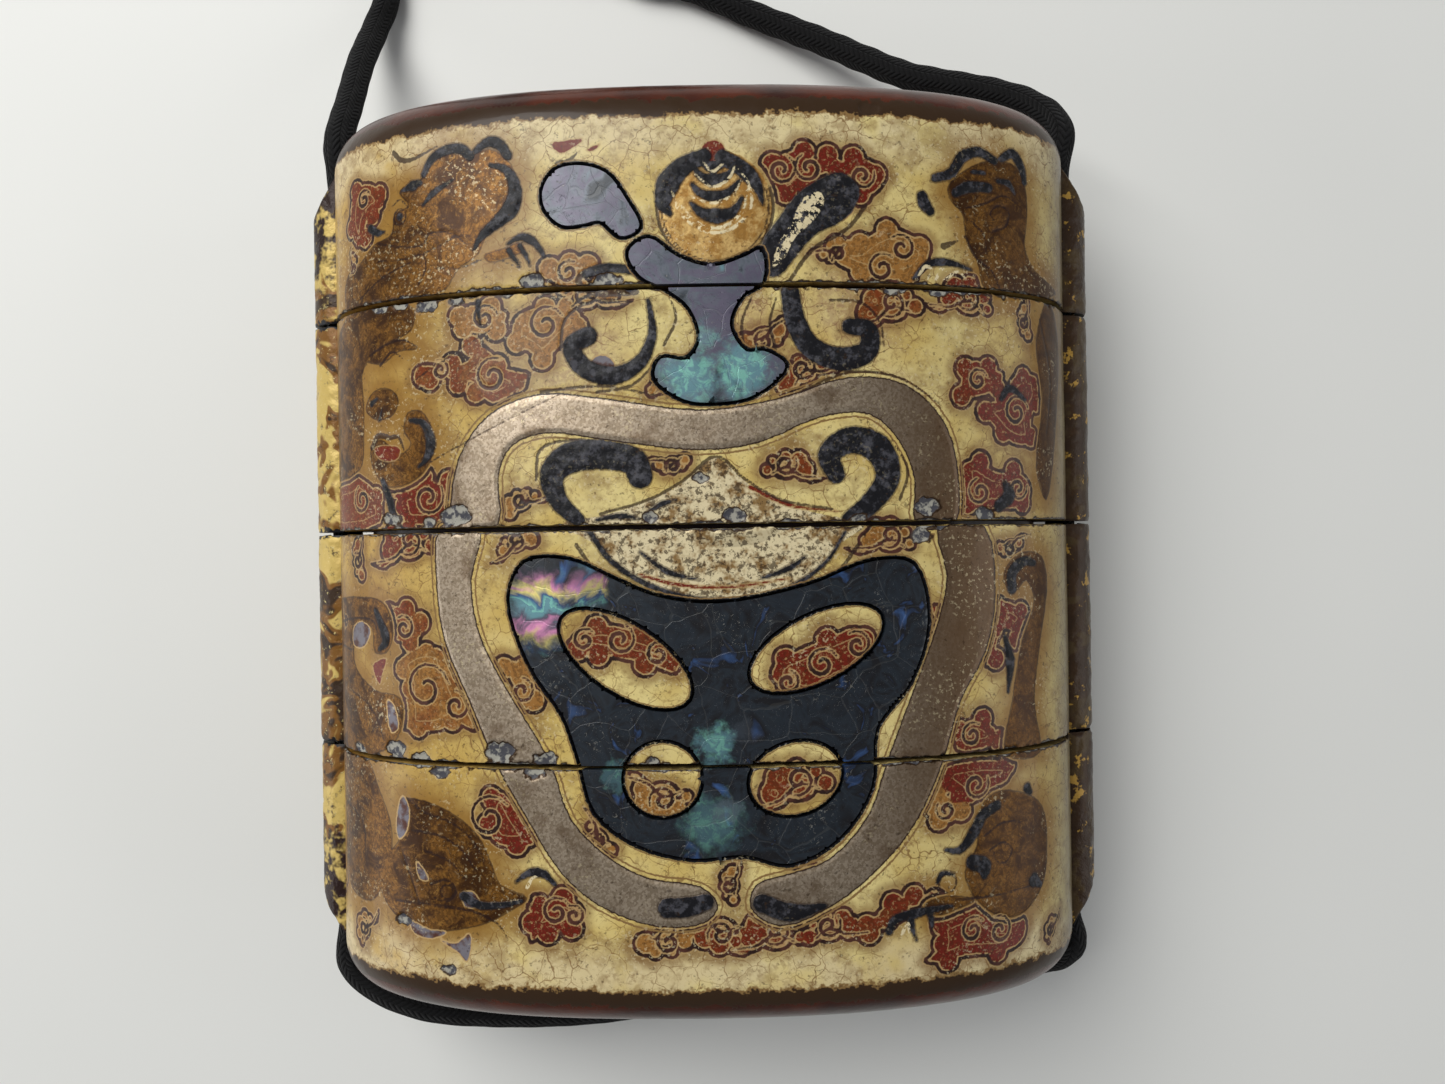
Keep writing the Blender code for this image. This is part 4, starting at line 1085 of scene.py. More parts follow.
def bend_case(name):
    """Bend a sheet round one of the four pieces, carve and mark it, and close it."""
    rows, seams = case_rows(name)
    places = column_places()
    piece, column, row = grid_sheet(name + "_finish", len(places) - 1, len(rows) - 1)
    rows = np.array(rows)
    around = places[column]
    half_x, half_z, y, along, tilt, painted = rows[row].T
    angle = angle_at(around)
    x, z = section_point((half_x, half_z), angle)
    painted = painted > 0
    surface = Surface(around[painted], along[painted])
    draw_everything(surface, seams)
    height = np.zeros(len(around))
    height[painted] = relief(surface)
    across, up = section_normal(angle)
    x += height * across * np.cos(tilt)
    z += height * up * np.cos(tilt)
    y = y + height * np.sin(tilt)
    far_out = np.abs(x) > RUNNER_AXIS - 3 * TUNNEL_RADIUS
    tunnel = far_out & (np.hypot(np.abs(x) - RUNNER_AXIS, z) < TUNNEL_RADIUS)
    cut = RUNNER_AXIS - np.sqrt(np.maximum(TUNNEL_RADIUS ** 2 - z ** 2, 0))
    x = np.where(tunnel & painted, np.sign(x) * np.minimum(np.abs(x), cut), x)
    write_points(piece, np.stack((x, y, np.maximum(AXIS_HEIGHT + z, 0.0)), 1))
    for layer, values in surface.layers.items():
        full = np.full(len(around), FAR)
        full[painted] = values
        write_attribute(piece, layer, full / MM)
    tone = np.zeros(len(around))
    tone[painted] = surface.tone
    write_attribute(piece, "tone", tone)
    write_attribute(piece, "rim", np.where(painted, np.abs(along) / MM, 0.0))
    write_attribute(piece, "inner", np.where(painted, 0.0, 1.0))
    write_attribute(piece, "around", around / MM)
    close_seams(piece)
    return piece


# The runners, chipped and worn, that the cord passes through
def bend_runner(name, side, bottom, top):
    """Bend one runner's sheet into a half-round, slanted where it ends short of the body."""
    columns = 44
    rows = max(8, round((top - bottom) / (0.22 * MM)))
    piece, column, row = grid_sheet(name, columns, rows)
    turn = (column / columns - 0.5) * math.radians(200)
    share = row / rows
    across = np.cos(turn) * RUNNER_RADIUS
    low = np.full(len(turn), bottom)
    high = np.full(len(turn), top)
    if bottom < -RUNNER_END:
        low = -RUNNER_END + RUNNER_SLANT * across
    if top > RUNNER_END:
        high = RUNNER_END - RUNNER_SLANT * across
    y = low + share * (high - low)
    u, v = turn * RUNNER_RADIUS, y
    wear = 0.07 * MM * rough_noise(u, v, 1.5 * MM, 41)
    wear = wear - 0.10 * MM * np.maximum(rough_noise(u, v, 0.7 * MM, 43), 0)
    ends = np.minimum(share, 1 - share) * (high - low)
    wear -= 0.22 * MM * np.exp(-(ends / (0.22 * MM)) ** 2) * (0.5 + 0.5 * value_noise(u, v, 1.2 * MM, 47))
    reach = RUNNER_RADIUS + wear - 0.04 * MM
    x = RUNNER_AXIS + reach * np.cos(turn)
    z = AXIS_HEIGHT + reach * np.sin(turn) * (-1 if side > 0 else 1)
    write_points(piece, np.stack((side * x, y, z), 1))
    write_attribute(piece, "rise", np.abs(turn))
    write_attribute(piece, "end", ends / MM)
    thicken(piece, RUNNER_RADIUS - TUNNEL_RADIUS - 0.1 * MM, 40)
    return piece


# The shells, cut to their outlines and let in flush
def shell_distance(points, outline, openings, low, high):
    """Distance outside a shell's outline, its openings and its shut line."""
    edge = smooth_closed([(x * MM, y * MM) for x, y in outline], 4)
    distance = outline_distance(points[:, 0], points[:, 1], edge)
    for opening in openings:
        hole = np.array(opening_points(opening))
        distance = np.maximum(distance, -outline_distance(points[:, 0], points[:, 1], hole))
    return np.maximum(distance, np.maximum(low - points[:, 1], points[:, 1] - high))


def cut_shell(name, outline, openings, low, high):
    """Cut one shell from a fine grid: trim it, draw its edge to the outline, bend and thicken it."""
    corners = np.array(outline) * MM
    left, right = corners[:, 0].min() - 0.4 * MM, corners[:, 0].max() + 0.4 * MM
    bottom = max(corners[:, 1].min() - 0.4 * MM, low - 0.2 * MM)
    top = min(corners[:, 1].max() + 0.4 * MM, high + 0.2 * MM)
    columns, rows = round((right - left) / SHELL_STEP), round((top - bottom) / SHELL_STEP)
    piece, column, row = grid_sheet(name, columns, rows)
    points = np.stack((left + column / columns * (right - left), bottom + row / rows * (top - bottom)), 1)
    distance = shell_distance(points, outline, openings, low, high)
    for _ in range(3):
        slope = []
        for nudge in ((1e-5, 0), (0, 1e-5)):
            slope.append((shell_distance(points + nudge, outline, openings, low, high) - distance) / 1e-5)
        slope = np.stack(slope, 1)
        edge = np.abs(distance) < 0.62 * SHELL_STEP
        points = np.where(edge[:, None], points - 0.98 * distance[:, None] * slope, points)
        distance = shell_distance(points, outline, openings, low, high)
    flaw = rough_noise(points[:, 0], points[:, 1], 3.0 * MM, 61)
    rise = HALF_DEPTH * (1 - np.abs(points[:, 0] / HALF_WIDTH) ** SECTION_POWER) ** (1 / SECTION_POWER)
    z = AXIS_HEIGHT + rise + 0.03 * MM + 0.02 * MM * flaw
    write_points(piece, np.stack((points[:, 0], points[:, 1], z), 1))
    waste = distance > 0.1 * SHELL_STEP
    pick(piece)
    bpy.ops.object.mode_set(mode="EDIT")
    bpy.ops.mesh.select_mode(type="VERT")
    bpy.ops.mesh.select_all(action="DESELECT")
    bpy.ops.object.mode_set(mode="OBJECT")
    piece.data.vertices.foreach_set("select", waste)
    bpy.ops.object.mode_set(mode="EDIT")
    bpy.ops.mesh.delete(type="VERT")
    bpy.ops.object.mode_set(mode="OBJECT")
    thicken(piece, INLAY_THICKNESS, 35, bevel=0.05 * MM)
    return piece


# Cords
def even_steps(points, spacing):
    """The same curve with its points an even distance apart."""
    points = np.asarray(points, float)
    walked = np.concatenate(([0.0], np.cumsum(np.linalg.norm(np.diff(points, axis=0), axis=1))))
    count = max(2, round(walked[-1] / spacing))
    places = np.linspace(0, walked[-1], count + 1)
    return np.stack([np.interp(places, walked, points[:, k]) for k in range(3)], 1)


def path_frames(path, closed=False):
    """Two directions square to the path at each of its points, turning as little as they can."""
    if closed:
        tangents = np.roll(path, -1, 0) - np.roll(path, 1, 0)
    else:
        tangents = np.gradient(path, axis=0)
    tangents /= np.linalg.norm(tangents, axis=1)[:, None]
    side = np.cross(tangents[0], (0.0, 0.0, 1.0))
    if np.linalg.norm(side) < 0.2:
        side = np.cross(tangents[0], (1.0, 0.0, 0.0))
    sides = []
    for tangent in tangents:
        side = side - tangent * (side @ tangent)
        side /= np.linalg.norm(side)
        sides.append(side)
    sides = np.array(sides)
    return sides, np.cross(tangents, sides)


def braided_tube(name, path, radius, closed=False):
    """A braided cord along a path: a grid rolled round it, with its strands raised, and its ends closed."""
    rings = len(path) if closed else len(path) - 1
    piece, column, row = grid_sheet(name, CORD_SIDES, rings)
    centre = np.vstack((path, path[:1])) if closed else path
    sides, ups = path_frames(path, closed)
    if closed:
        sides, ups = np.vstack((sides, sides[:1])), np.vstack((ups, ups[:1]))
    turn = -2 * math.pi * column / CORD_SIDES
    walked = np.concatenate(([0.0], np.cumsum(np.linalg.norm(np.diff(centre, axis=0), axis=1))))[row]
    wave = np.cos(3 * turn + walked / (0.55 * MM)) + np.cos(3 * turn - walked / (0.55 * MM))
    reach = radius * (1 + 0.018 * wave)
    if not closed:
        ends = np.minimum(walked, walked.max() - walked)
        reach = reach * np.sqrt(np.clip(1 - (1 - np.clip(ends / (0.5 * radius), 0, 1)) ** 2, 0, 1))
    offset = sides[row] * np.cos(turn)[:, None] + ups[row] * np.sin(turn)[:, None]
    write_points(piece, centre[row] + reach[:, None] * offset)
    uv = piece.data.uv_layers.active.data
    flat = np.empty(len(uv) * 2, np.float32)
    uv.foreach_get("uv", flat)
    flat = flat.reshape(-1, 2)
    flat[:, 0] *= 2 * math.pi * radius / MM
    flat[:, 1] *= walked.max() / MM
    uv.foreach_set("uv", flat.ravel())
    close_seams(piece, 60)
    face_out(piece)
    return piece


def on_axis(side, y):
    """A route point on the axis of one runner."""
    return [(side * RUNNER_AXIS, y, AXIS_HEIGHT)]


def coil_turns(start_angle, turns, radius, height, pitch, end_height=None):
    """Points of the turns of a coil that winds inwards, clockwise seen from above."""
    steps = round(COIL_POINTS * turns)
    points = []
    for step in range(steps + 1):
        share = step / steps
        angle = math.radians(start_angle) - 2 * math.pi * turns * share
        reach = radius - pitch * turns * share
        z = height if end_height is None else height + (end_height - height) * share
        points.append((COIL_CENTRE[0] + reach * math.cos(angle), COIL_CENTRE[1] + reach * math.sin(angle), z))
    return points


def cord_paths():
    """The three cords' paths: through the runners and under the base, and each free end to the knot."""
    seat = RUNNER_END - CORD_SEAT
    through = (on_axis(-1, seat) + on_axis(-1, 0.0) + on_axis(-1, -RUNNER_END) + BASE_ROUTE
               + on_axis(1, -RUNNER_END) + on_axis(1, 0.0) + on_axis(1, seat))
    into_knot = [(-0.0060, 0.0765, 0.0030), (-0.0085, 0.0790, 0.0036), KNOT_CENTRE]
    left = (on_axis(-1, seat + CORD_GAP) + on_axis(-1, RUNNER_END) + LEFT_ROUTE
            + [(-0.0336, 0.0765, 0.0030)] + coil_turns(176, 1.55, 0.0166, 0.0041, 0.0028)[:-1]
            + into_knot)
    right = (on_axis(1, seat + CORD_GAP) + on_axis(1, RUNNER_END) + RIGHT_ROUTE
             + coil_turns(-88, 1.84, 0.0166, 0.0014, 0.0028)[:-1] + into_knot)
    return [even_steps(smooth_open(route, 12), CORD_RING) for route in (through, left, right)]


# Finishes
class Finish:
    """A material under construction, with short ways to add and join its nodes."""

    def __init__(self, name):
        self.material = bpy.data.materials.new(name)
        self.material.use_nodes = True
        self.nodes = self.material.node_tree.nodes
        self.links = self.material.node_tree.links
        self.shader = self.nodes["Principled BSDF"]
        self.place = self.nodes.new("ShaderNodeTexCoord").outputs["Object"]
        self.ragged = None

    def join(self, value, socket):
        """Put a number, a colour or another node's output into a socket."""
        if isinstance(value, bpy.types.NodeSocket):
            self.links.new(value, socket)
        elif value is not None:
            socket.default_value = (*value, 1.0) if hasattr(value, "__len__") and len(value) == 3 else value

    def attribute(self, name):
        """A number kept at each point of the piece."""
        node = self.nodes.new("ShaderNodeAttribute")
        node.attribute_name = name
        return node.outputs["Fac"]

    def math(self, operation, first, second=None, third=None):
        """A sum on one to three values."""
        node = self.nodes.new("ShaderNodeMath")
        node.operation = operation
        for value, socket in zip((first, second, third), node.inputs):
            self.join(value, socket)
        return node.outputs[0]

    def times(self, first, second):
        """The product of two values."""
        return self.math("MULTIPLY", first, second)

    def scaled(self, value, factor, shift):
        """A value times a factor and shifted."""
        return self.math("MULTIPLY_ADD", value, factor, shift)

    def level(self, value, low, high, start=0.0, end=1.0):
        """The value from low to high, made to run smoothly from start to end."""
        node = self.nodes.new("ShaderNodeMapRange")
        node.interpolation_type = "SMOOTHSTEP"
        for socket, given in zip(node.inputs, (value, low, high, start, end)):
            self.join(given, socket)
        return node.outputs[0]

    def noise(self, size, detail=3.0, roughness=0.55, distortion=0.0, vector=None):
        """Even noise whose features have a size in metres."""
        node = self.nodes.new("ShaderNodeTexNoise")
        self.join(vector or self.place, node.inputs["Vector"])
        node.inputs["Scale"].default_value = 1 / size
        node.inputs["Detail"].default_value = detail
        node.inputs["Roughness"].default_value = roughness
        node.inputs["Distortion"].default_value = distortion
        return node.outputs[0]

    def cells(self, size, feature="DISTANCE_TO_EDGE", output="Distance", vector=None):
        """Voronoi cells of a size in metres."""
        node = self.nodes.new("ShaderNodeTexVoronoi")
        node.feature = feature
        self.join(vector or self.place, node.inputs["Vector"])
        node.inputs["Scale"].default_value = 1 / size
        return node.outputs[output]

    def parts(self, vector):
        """The three parts of a vector."""
        node = self.nodes.new("ShaderNodeSeparateXYZ")
        self.links.new(vector, node.inputs[0])
        return node.outputs

    def patches(self, size, low, high, detail=3.0, roughness=0.55, distortion=0.0, amount=1.0):
        """Soft patches, where noise with features of a size (mm) runs from low to high."""
        return self.level(self.noise(size * MM, detail, roughness, distortion), low, high, 0.0, amount)

    def tint(self, under, over, share, amount):
        """A colour with another laid over it by a share and an amount."""
        return self.mix(self.times(share, amount), under, over)

    def wander(self, size, amount):
        """Object places pushed about a little by noise."""
        node = self.nodes.new("ShaderNodeTexNoise")
        self.join(self.place, node.inputs["Vector"])
        node.inputs["Scale"].default_value = 1 / size
        shift = self.nodes.new("ShaderNodeVectorMath")
        shift.operation = "MULTIPLY_ADD"
        self.links.new(node.outputs["Color"], shift.inputs[0])
        shift.inputs[1].default_value = (amount, amount, amount)
        self.links.new(self.place, shift.inputs[2])
        return shift.outputs[0]

    def mix(self, share, first, second):
        """Two colours mixed by a share of the second."""
        node = self.nodes.new("ShaderNodeMix")
        node.data_type = "RGBA"
        self.join(share, node.inputs[0])
        self.join(first, node.inputs[6])
        self.join(second, node.inputs[7])
        return node.outputs[2]

    def blend(self, share, first, second):
        """Two numbers mixed by a share of the second."""
        node = self.nodes.new("ShaderNodeMix")
        self.join(share, node.inputs[0])
        self.join(first, node.inputs[2])
        self.join(second, node.inputs[3])
        return node.outputs[0]

    def ramp(self, value, *stops):
        """Colours along a value, given as (place, colour)."""
        node = self.nodes.new("ShaderNodeValToRGB")
        self.join(value, node.inputs[0])
        elements = node.color_ramp.elements
        while len(elements) < len(stops):
            elements.new(0.5)
        for element, (place, colour) in zip(elements, stops):
            element.position = place
            element.color = (*colour, 1.0)
        return node.outputs[0]

    def bump(self, height, distance):
        """A small relief from a height."""
        node = self.nodes.new("ShaderNodeBump")
        node.inputs["Strength"].default_value = 1.0
        node.inputs["Distance"].default_value = distance
        self.join(height, node.inputs["Height"])
        return node.outputs[0]

    def contour(self, value, level, width, amount):
        """A thin line where a value passes a level."""
        away = self.math("ABSOLUTE", self.math("SUBTRACT", value, level))
        return self.level(away, 0.5 * width, width, amount, 0.0)

    def spot(self, x, y, reach, amount):
        """A ragged soft patch round a place, all in millimetres, seen from the front."""
        split = self.parts(self.place)
        across = self.math("POWER", self.math("SUBTRACT", split[0], x * MM), 2.0)
        along = self.math("POWER", self.math("SUBTRACT", split[1], y * MM), 2.0)
        if self.ragged is None:
            self.ragged = self.scaled(self.noise(1.2 * MM, 3.0, 0.65), 3.6 * MM, -1.8 * MM)
        away = self.math("ADD", self.math("SQRT", self.math("ADD", across, along)), self.ragged)
        return self.level(away, reach * MM, 0.3 * (reach * MM), 0.0, amount)

    def finish(self, **inputs):
        """Set the shader's own sockets, named with underscores for spaces."""
        for name, value in inputs.items():
            self.join(value, self.shader.inputs[name.replace("_", " ").title().replace("Ior", "IOR")])
        return self.material


# Soft patches seen from the front: x, y, reach (mm) and amount
ROSE_DRIFTS = [(-10.5, 16.8, 6.5, 0.6), (13.0, 20.0, 6.0, 0.55), (-18.5, 16.0, 4.5, 0.5),
               (4.0, 19.0, 2.8, 0.6), (7.0, 14.5, 2.6, 0.6), (16.0, 12.0, 3.5, 0.3)]
# Painted highlights on the shells: iridescent gleams fixed at these places
RAINBOW_GLEAMS = [(-13.2, -4.6, 3.9, 1.0), (-9.5, -2.6, 2.4, 0.5)]
TEAL_GLEAMS = [(0.8, -15.6, 2.0, 0.6), (0.6, -22.0, 3.2, 0.35), (3.6, 14.8, 3.0, 0.8), (-1.0, 14.0, 3.2, 0.8),
               (-7.0, -18.0, 1.6, 0.3), (0.5, 17.4, 1.6, 0.4)]
MIST_GLEAMS = [(-3.4, 13.2, 2.0, 0.7), (1.6, -21.0, 1.6, 0.5), (3.4, -14.6, 1.4, 0.2)]

# Noise that stains the ground: size (mm), low, high and amount
STAINS = [(5.0, 0.5, 0.72, 0.65), (1.6, 0.5, 0.7, 0.5), (0.5, 0.52, 0.7, 0.5)]


def lacquer_finish(colours):
    """The painted lacquer: aged cream ground, clouds, dragons, the metal band, worn spots and ends."""
    f = Finish("painted_lacquer")
    fuzz = f.scaled(f.noise(0.35 * MM, 2.0), 0.2, -0.1)
    coarse = f.scaled(f.noise(1.3 * MM, 2.0), 0.5, -0.25)
    field = {name: f.math("ADD", f.attribute(name), fuzz) for name in Surface.LAYERS}

    def within(name, edge=0.0, soft=0.05):
        return f.level(field[name], edge - soft, edge + soft, 1.0, 0.0)

    def line_at(name, centre, width, soft=0.03):
        away = f.math("ABSOLUTE", f.math("SUBTRACT", field[name], centre))
        return f.level(away, width / 2 - soft, width / 2 + soft, 1.0, 0.0)

    side = f.parts(f.place)
    grain = f.noise(0.28 * MM, 3.0, 0.7)
    stipple = f.level(f.cells(0.2 * MM, "F1", "Color"), 0.45, 0.6)

    base = f.mix(f.patches(8, 0.38, 0.64, 3.0, 0.65), colours.cream, colours.aged_cream)
    golden = f.level(side[0], -0.008, -0.030)
    base = f.tint(base, colours.golden_cream, golden, 0.8)
    # The ground darker towards the right side: partly the lacquer's own colour, partly painted shade
    dull = f.level(side[0], 0.006, 0.036)
    base = f.tint(base, colours.dull_cream, dull, 0.35)
    rubbed = f.times(f.level(f.attribute("rim"), 30.5, 34.0), f.patches(4, 0.3, 0.55))
    base = f.tint(base, colours.ivory, rubbed, 0.7)
    for size, low, high, amount in STAINS:
        base = f.mix(f.patches(size, low, high, 3.0, 0.68, amount=amount), base, colours.stain)
    crack_place = f.wander(1.2 * MM, 0.9 * MM)
    crack = f.level(f.cells(1.9 * MM, vector=crack_place), 0.008, 0.022, 1.0, 0.0)
    hair = f.contour(f.noise(1.5 * MM, 2.0, 0.5, 1.0), 0.5, 0.012, 0.5)
    crack_zone = f.patches(6, 0.34, 0.54, 2.0)
    cracks = f.times(f.math("MAXIMUM", crack, hair), crack_zone)
    base = f.tint(base, colours.halo, cracks, 0.75)

    strokes = f.patches(0.7, 0.42, 0.58, 3.0, 0.7, 1.5)
    for spot in ROSE_DRIFTS:
        base = f.tint(base, colours.rose_wash, f.spot(*spot), f.blend(strokes, 0.45, 1.0))

    halo = f.level(f.math("ADD", f.attribute("cloud"), coarse), 0.1, 1.0, 0.6, 0.0)
    base = f.mix(halo, base, colours.halo)
    hide_halo = f.level(f.scaled(coarse, 3.0, f.attribute("hide")), 0.0, 3.0, 0.85, 0.0)
    base = f.mix(hide_halo, base, colours.gold_shade)

    hide = f.mix(f.patches(2.6, 0.42, 0.62, 3.0, 0.65, 0.8), colours.hide, colours.dark_hide)
    hide = f.mix(f.patches(0.9, 0.54, 0.64, 3.0, 0.7, 1.5, amount=0.5), hide, colours.light_hide)
    hide = f.tint(hide, colours.dark_hide, stipple, 0.45)
    scribble = f.contour(f.noise(1.4 * MM, 2.0, 0.6, 2.0), 0.5, 0.03, 0.6)
    hide = f.mix(scribble, hide, colours.dark_hide)
    # Painted shade: the gold dragons darkened towards the right side
    shaded = f.level(side[0], 0.018, 0.034)
    hide = f.tint(hide, colours.dark_hide, shaded, 0.75)
    wash = f.scaled(f.noise(1.5 * MM, 2.0), 0.5, f.attribute("hide"))
    in_hide = f.level(wash, 0.12, 0.36, 1.0, 0.0)
    colour = f.mix(in_hide, base, hide)
    colour = f.tint(colour, colours.line, line_at("hide", -0.02, 0.14), 0.55)

    tone = f.attribute("tone")
    drift = f.scaled(f.noise(1.8 * MM, 2.0), 0.5, -0.25)
    cloud = f.ramp(f.math("ADD", tone, drift), (0.0, colours.tan), (0.42, colours.tan), (0.62, colours.brick),
                   (1.0, colours.red))
    cloud = f.tint(cloud, colours.dark_hide, stipple, 0.4)
    cloud = f.mix(f.level(grain, 0.56, 0.66, 0.0, 0.45), cloud, colours.pale_line)
    in_cloud = within("cloud")
    colour = f.tint(colour, colours.pale_line, within("cloud", 0.1), 0.5)
    outline = f.mix(f.patches(1.4, 0.4, 0.6, 2.0), colours.plum, colours.line)
    colour = f.mix(in_cloud, colour, outline)
    colour = f.mix(within("cloud", -0.34), colour, cloud)
    worn_line = f.patches(0.8, 0.36, 0.46, 2.0)
    echo = f.math("MAXIMUM", line_at("cloud", -0.36, 0.13), f.times(line_at("cloud", -1.15, 0.1), 0.7))
    colour = f.tint(colour, colours.pale_line, f.times(echo, worn_line), 0.8)
    colour = f.tint(colour, colours.pale_line, within("curl", 0.1), 0.8)
    colour = f.mix(within("curl"), colour, outline)
    ash = f.mix(f.patches(1.1, 0.4, 0.62), colours.ash, colours.plum)
    colour = f.mix(within("ash", 0.12), colour, colours.pale_line)
    colour = f.mix(within("ash"), colour, ash)

    speckle = f.level(f.cells(0.17 * MM, "F1", "Color"), 0.3, 0.75)
    band = f.tint(colours.band, colours.band_fleck, speckle, 0.6)
    band = f.mix(f.patches(3.0, 0.5, 0.7, amount=0.6), band, colours.band_worn)
    # Painted shade: the metal-dust band darkened towards the right side
    band = f.tint(band, colours.band_worn, f.level(side[0], 0.010, 0.022), 0.92)
    in_band = within("band")
    colour = f.mix(line_at("band", 0.45, 0.16), colour, colours.stain)
    colour = f.mix(within("band", 0.13), colour, colours.line)
    colour = f.mix(in_band, colour, band)
    amber = f.mix(f.patches(1.2, 0.4, 0.62, 3.0, 0.7), colours.amber, colours.light_hide)
    amber = f.tint(amber, colours.hide, stipple, 0.3)
    in_amber = within("amber")
    colour = f.mix(in_amber, colour, amber)
    ivory = f.mix(f.patches(1.5, 0.44, 0.64, 3.0, 0.75), colours.ivory, colours.stain)
    ivory = f.mix(f.patches(0.45, 0.50, 0.60, 3.0, 0.7, amount=0.8), ivory, colours.grime)
    colour = f.mix(within("ivory"), colour, ivory)
    red = f.mix(f.level(grain, 0.45, 0.65), colours.red, colours.brick)
    colour = f.tint(colour, colours.pale_line, within("red", 0.1), 0.6)
    colour = f.mix(within("red"), colour, red)
    colour = f.tint(colour, colours.line, within("ink", 0.02), 0.85)
    rock = f.mix(f.patches(0.8, 0.46, 0.68, 3.0, 0.7), colours.black, colours.black_worn)
    in_black = within("black")
    colour = f.tint(colour, colours.line, within("black", 0.12), 0.6)
    colour = f.mix(in_black, colour, rock)
    rubbed_gold = f.times(within("gold"), f.patches(0.6, 0.56, 0.5, 3.0, 0.7))
    colour = f.mix(rubbed_gold, colour, colours.ivory)
    colour = f.mix(line_at("pocket", 0.42, 0.1), colour, colours.stain)
    colour = f.mix(within("pocket", 0.35), colour, colours.black)

    # Small patches of real grime all over, in the same dark brown as the painted shade
    grime = f.patches(0.42, 0.60, 0.68, 3.0, 0.65)
    colour = f.tint(colour, colours.grime, grime, 0.55)
    scuff = f.times(f.patches(0.3, 0.58, 0.66, 2.0), f.patches(5, 0.48, 0.6, 2.0))
    scuff = f.times(scuff, f.blend(in_black, 0.4, 0.1))
    colour = f.mix(scuff, colour, colours.ivory)
    chip = f.mix(f.patches(0.6, 0.42, 0.56), colours.chip, colours.black_worn)
    in_loss = within("loss")
    colour = f.mix(within("loss", 0.12), colour, colours.grime)
    colour = f.mix(in_loss, colour, chip)

    rim = f.math("ADD", f.attribute("rim"), f.scaled(f.noise(1.5 * MM, 3.0, 0.8), 2.4, -1.2))
    # Painted shade: the rounded right side of each case darkened towards dark brown
    right_side_shade = f.times(f.level(side[0], 0.0295, 0.034), 0.75)
    colour = f.mix(right_side_shade, colour, colours.grime)
    colour = f.mix(f.level(rim, 35.3, 35.55), colour, colours.stain)
    colour = f.mix(f.level(rim, 35.6, 35.75), colour, colours.grime)
    end = f.mix(f.patches(6, 0.4, 0.7), colours.end_lacquer, colours.end_dark)
    on_end = f.level(rim, 37.0, 37.3)
    colour = f.mix(on_end, colour, end)
    colour = f.mix(f.attribute("inner"), colour, colours.end_dark)

    lump = f.scaled(f.noise(0.45 * MM, 3.0, 0.65), 0.5, f.noise(2.2 * MM, 2.0))
    lump = f.scaled(in_black, f.times(f.noise(0.6 * MM, 3.0, 0.7), 1.6), lump)
    roughness = f.scaled(f.noise(1.5 * MM, 2.0), 0.3, 0.2)
    roughness = f.blend(in_band, roughness, 0.42)
    roughness = f.blend(in_black, roughness, 0.45)
    roughness = f.blend(in_loss, roughness, 0.8)
    roughness = f.blend(on_end, roughness, 0.25)
    metal = f.math("MAXIMUM", f.times(in_band, 0.7), f.times(in_hide, 0.3))
    metal = f.math("MAXIMUM", metal, f.times(in_amber, 0.4))
    cover = f.math("MAXIMUM", f.math("MAXIMUM", in_black, in_loss), f.math("MAXIMUM", on_end, in_cloud))
    metal = f.times(metal, f.math("SUBTRACT", 1.0, cover))
    coat = f.blend(f.math("MAXIMUM", in_black, in_hide), f.blend(in_cloud, 0.16, 0.1), 0.04)
    coat = f.blend(on_end, coat, 0.1)
    return f.finish(base_color=colour, roughness=roughness, metallic=metal, specular_ior_level=0.15,
                    normal=f.bump(lump, 0.03 * MM), coat_weight=coat, coat_roughness=0.1)


def runner_finish(colours):
    """The runners: olive gold and dark brown lacquer, flecked, and rubbed through to black at the ends."""
    f = Finish("worn_runner")
    patch = f.noise(4.2 * MM, 2.0, 0.6, 0.6)
    colour = f.mix(f.level(patch, 0.48, 0.52), colours.aged_cream, colours.hide)
    colour = f.mix(f.level(patch, 0.56, 0.60), colour, colours.grime)
    colour = f.mix(f.patches(1.0, 0.55, 0.68, 3.0, 0.7, amount=0.8), colour, colours.line)
    colour = f.mix(f.patches(0.5, 0.6, 0.68, 3.0, 0.7, amount=0.7), colour, colours.cream)
    edge = f.math("ADD", f.attribute("end"), f.scaled(f.noise(0.8 * MM, 2.0), 1.6, -0.8))
    colour = f.mix(f.level(edge, 0.3, 0.1), colour, colours.black)
    along = f.parts(f.place)
    reach = f.math("ABSOLUTE", along[1])
    reach = f.math("ADD", reach, f.scaled(f.noise(2.0 * MM, 3.0, 0.7), 14 * MM, -7 * MM))
    worn = f.level(reach, 24 * MM, 27 * MM)
    bare = f.mix(f.patches(2.4, 0.48, 0.60, 3.0, 0.7), colours.line, colours.aged_cream)
    colour = f.mix(worn, colour, bare)
    # Painted shade: the right runners darkened to dark brown with olive-gold patches
    shaded = f.level(along[0], -0.01, 0.01, 0.0, 0.95)
    dark = f.mix(f.patches(1.6, 0.60, 0.66, 3.0, 0.7), colours.grime, colours.golden_cream)
    colour = f.mix(shaded, colour, dark)
    lump = f.scaled(worn, f.noise(0.7 * MM, 3.0, 0.7), f.noise(1.2 * MM, 3.0, 0.65))
    roughness = f.scaled(f.noise(1.2 * MM), 0.3, 0.25)
    return f.finish(base_color=colour, roughness=roughness, metallic=0.15, normal=f.bump(lump, 0.12 * MM),
                    specular_ior_level=0.2, coat_weight=0.06, coat_roughness=0.2)


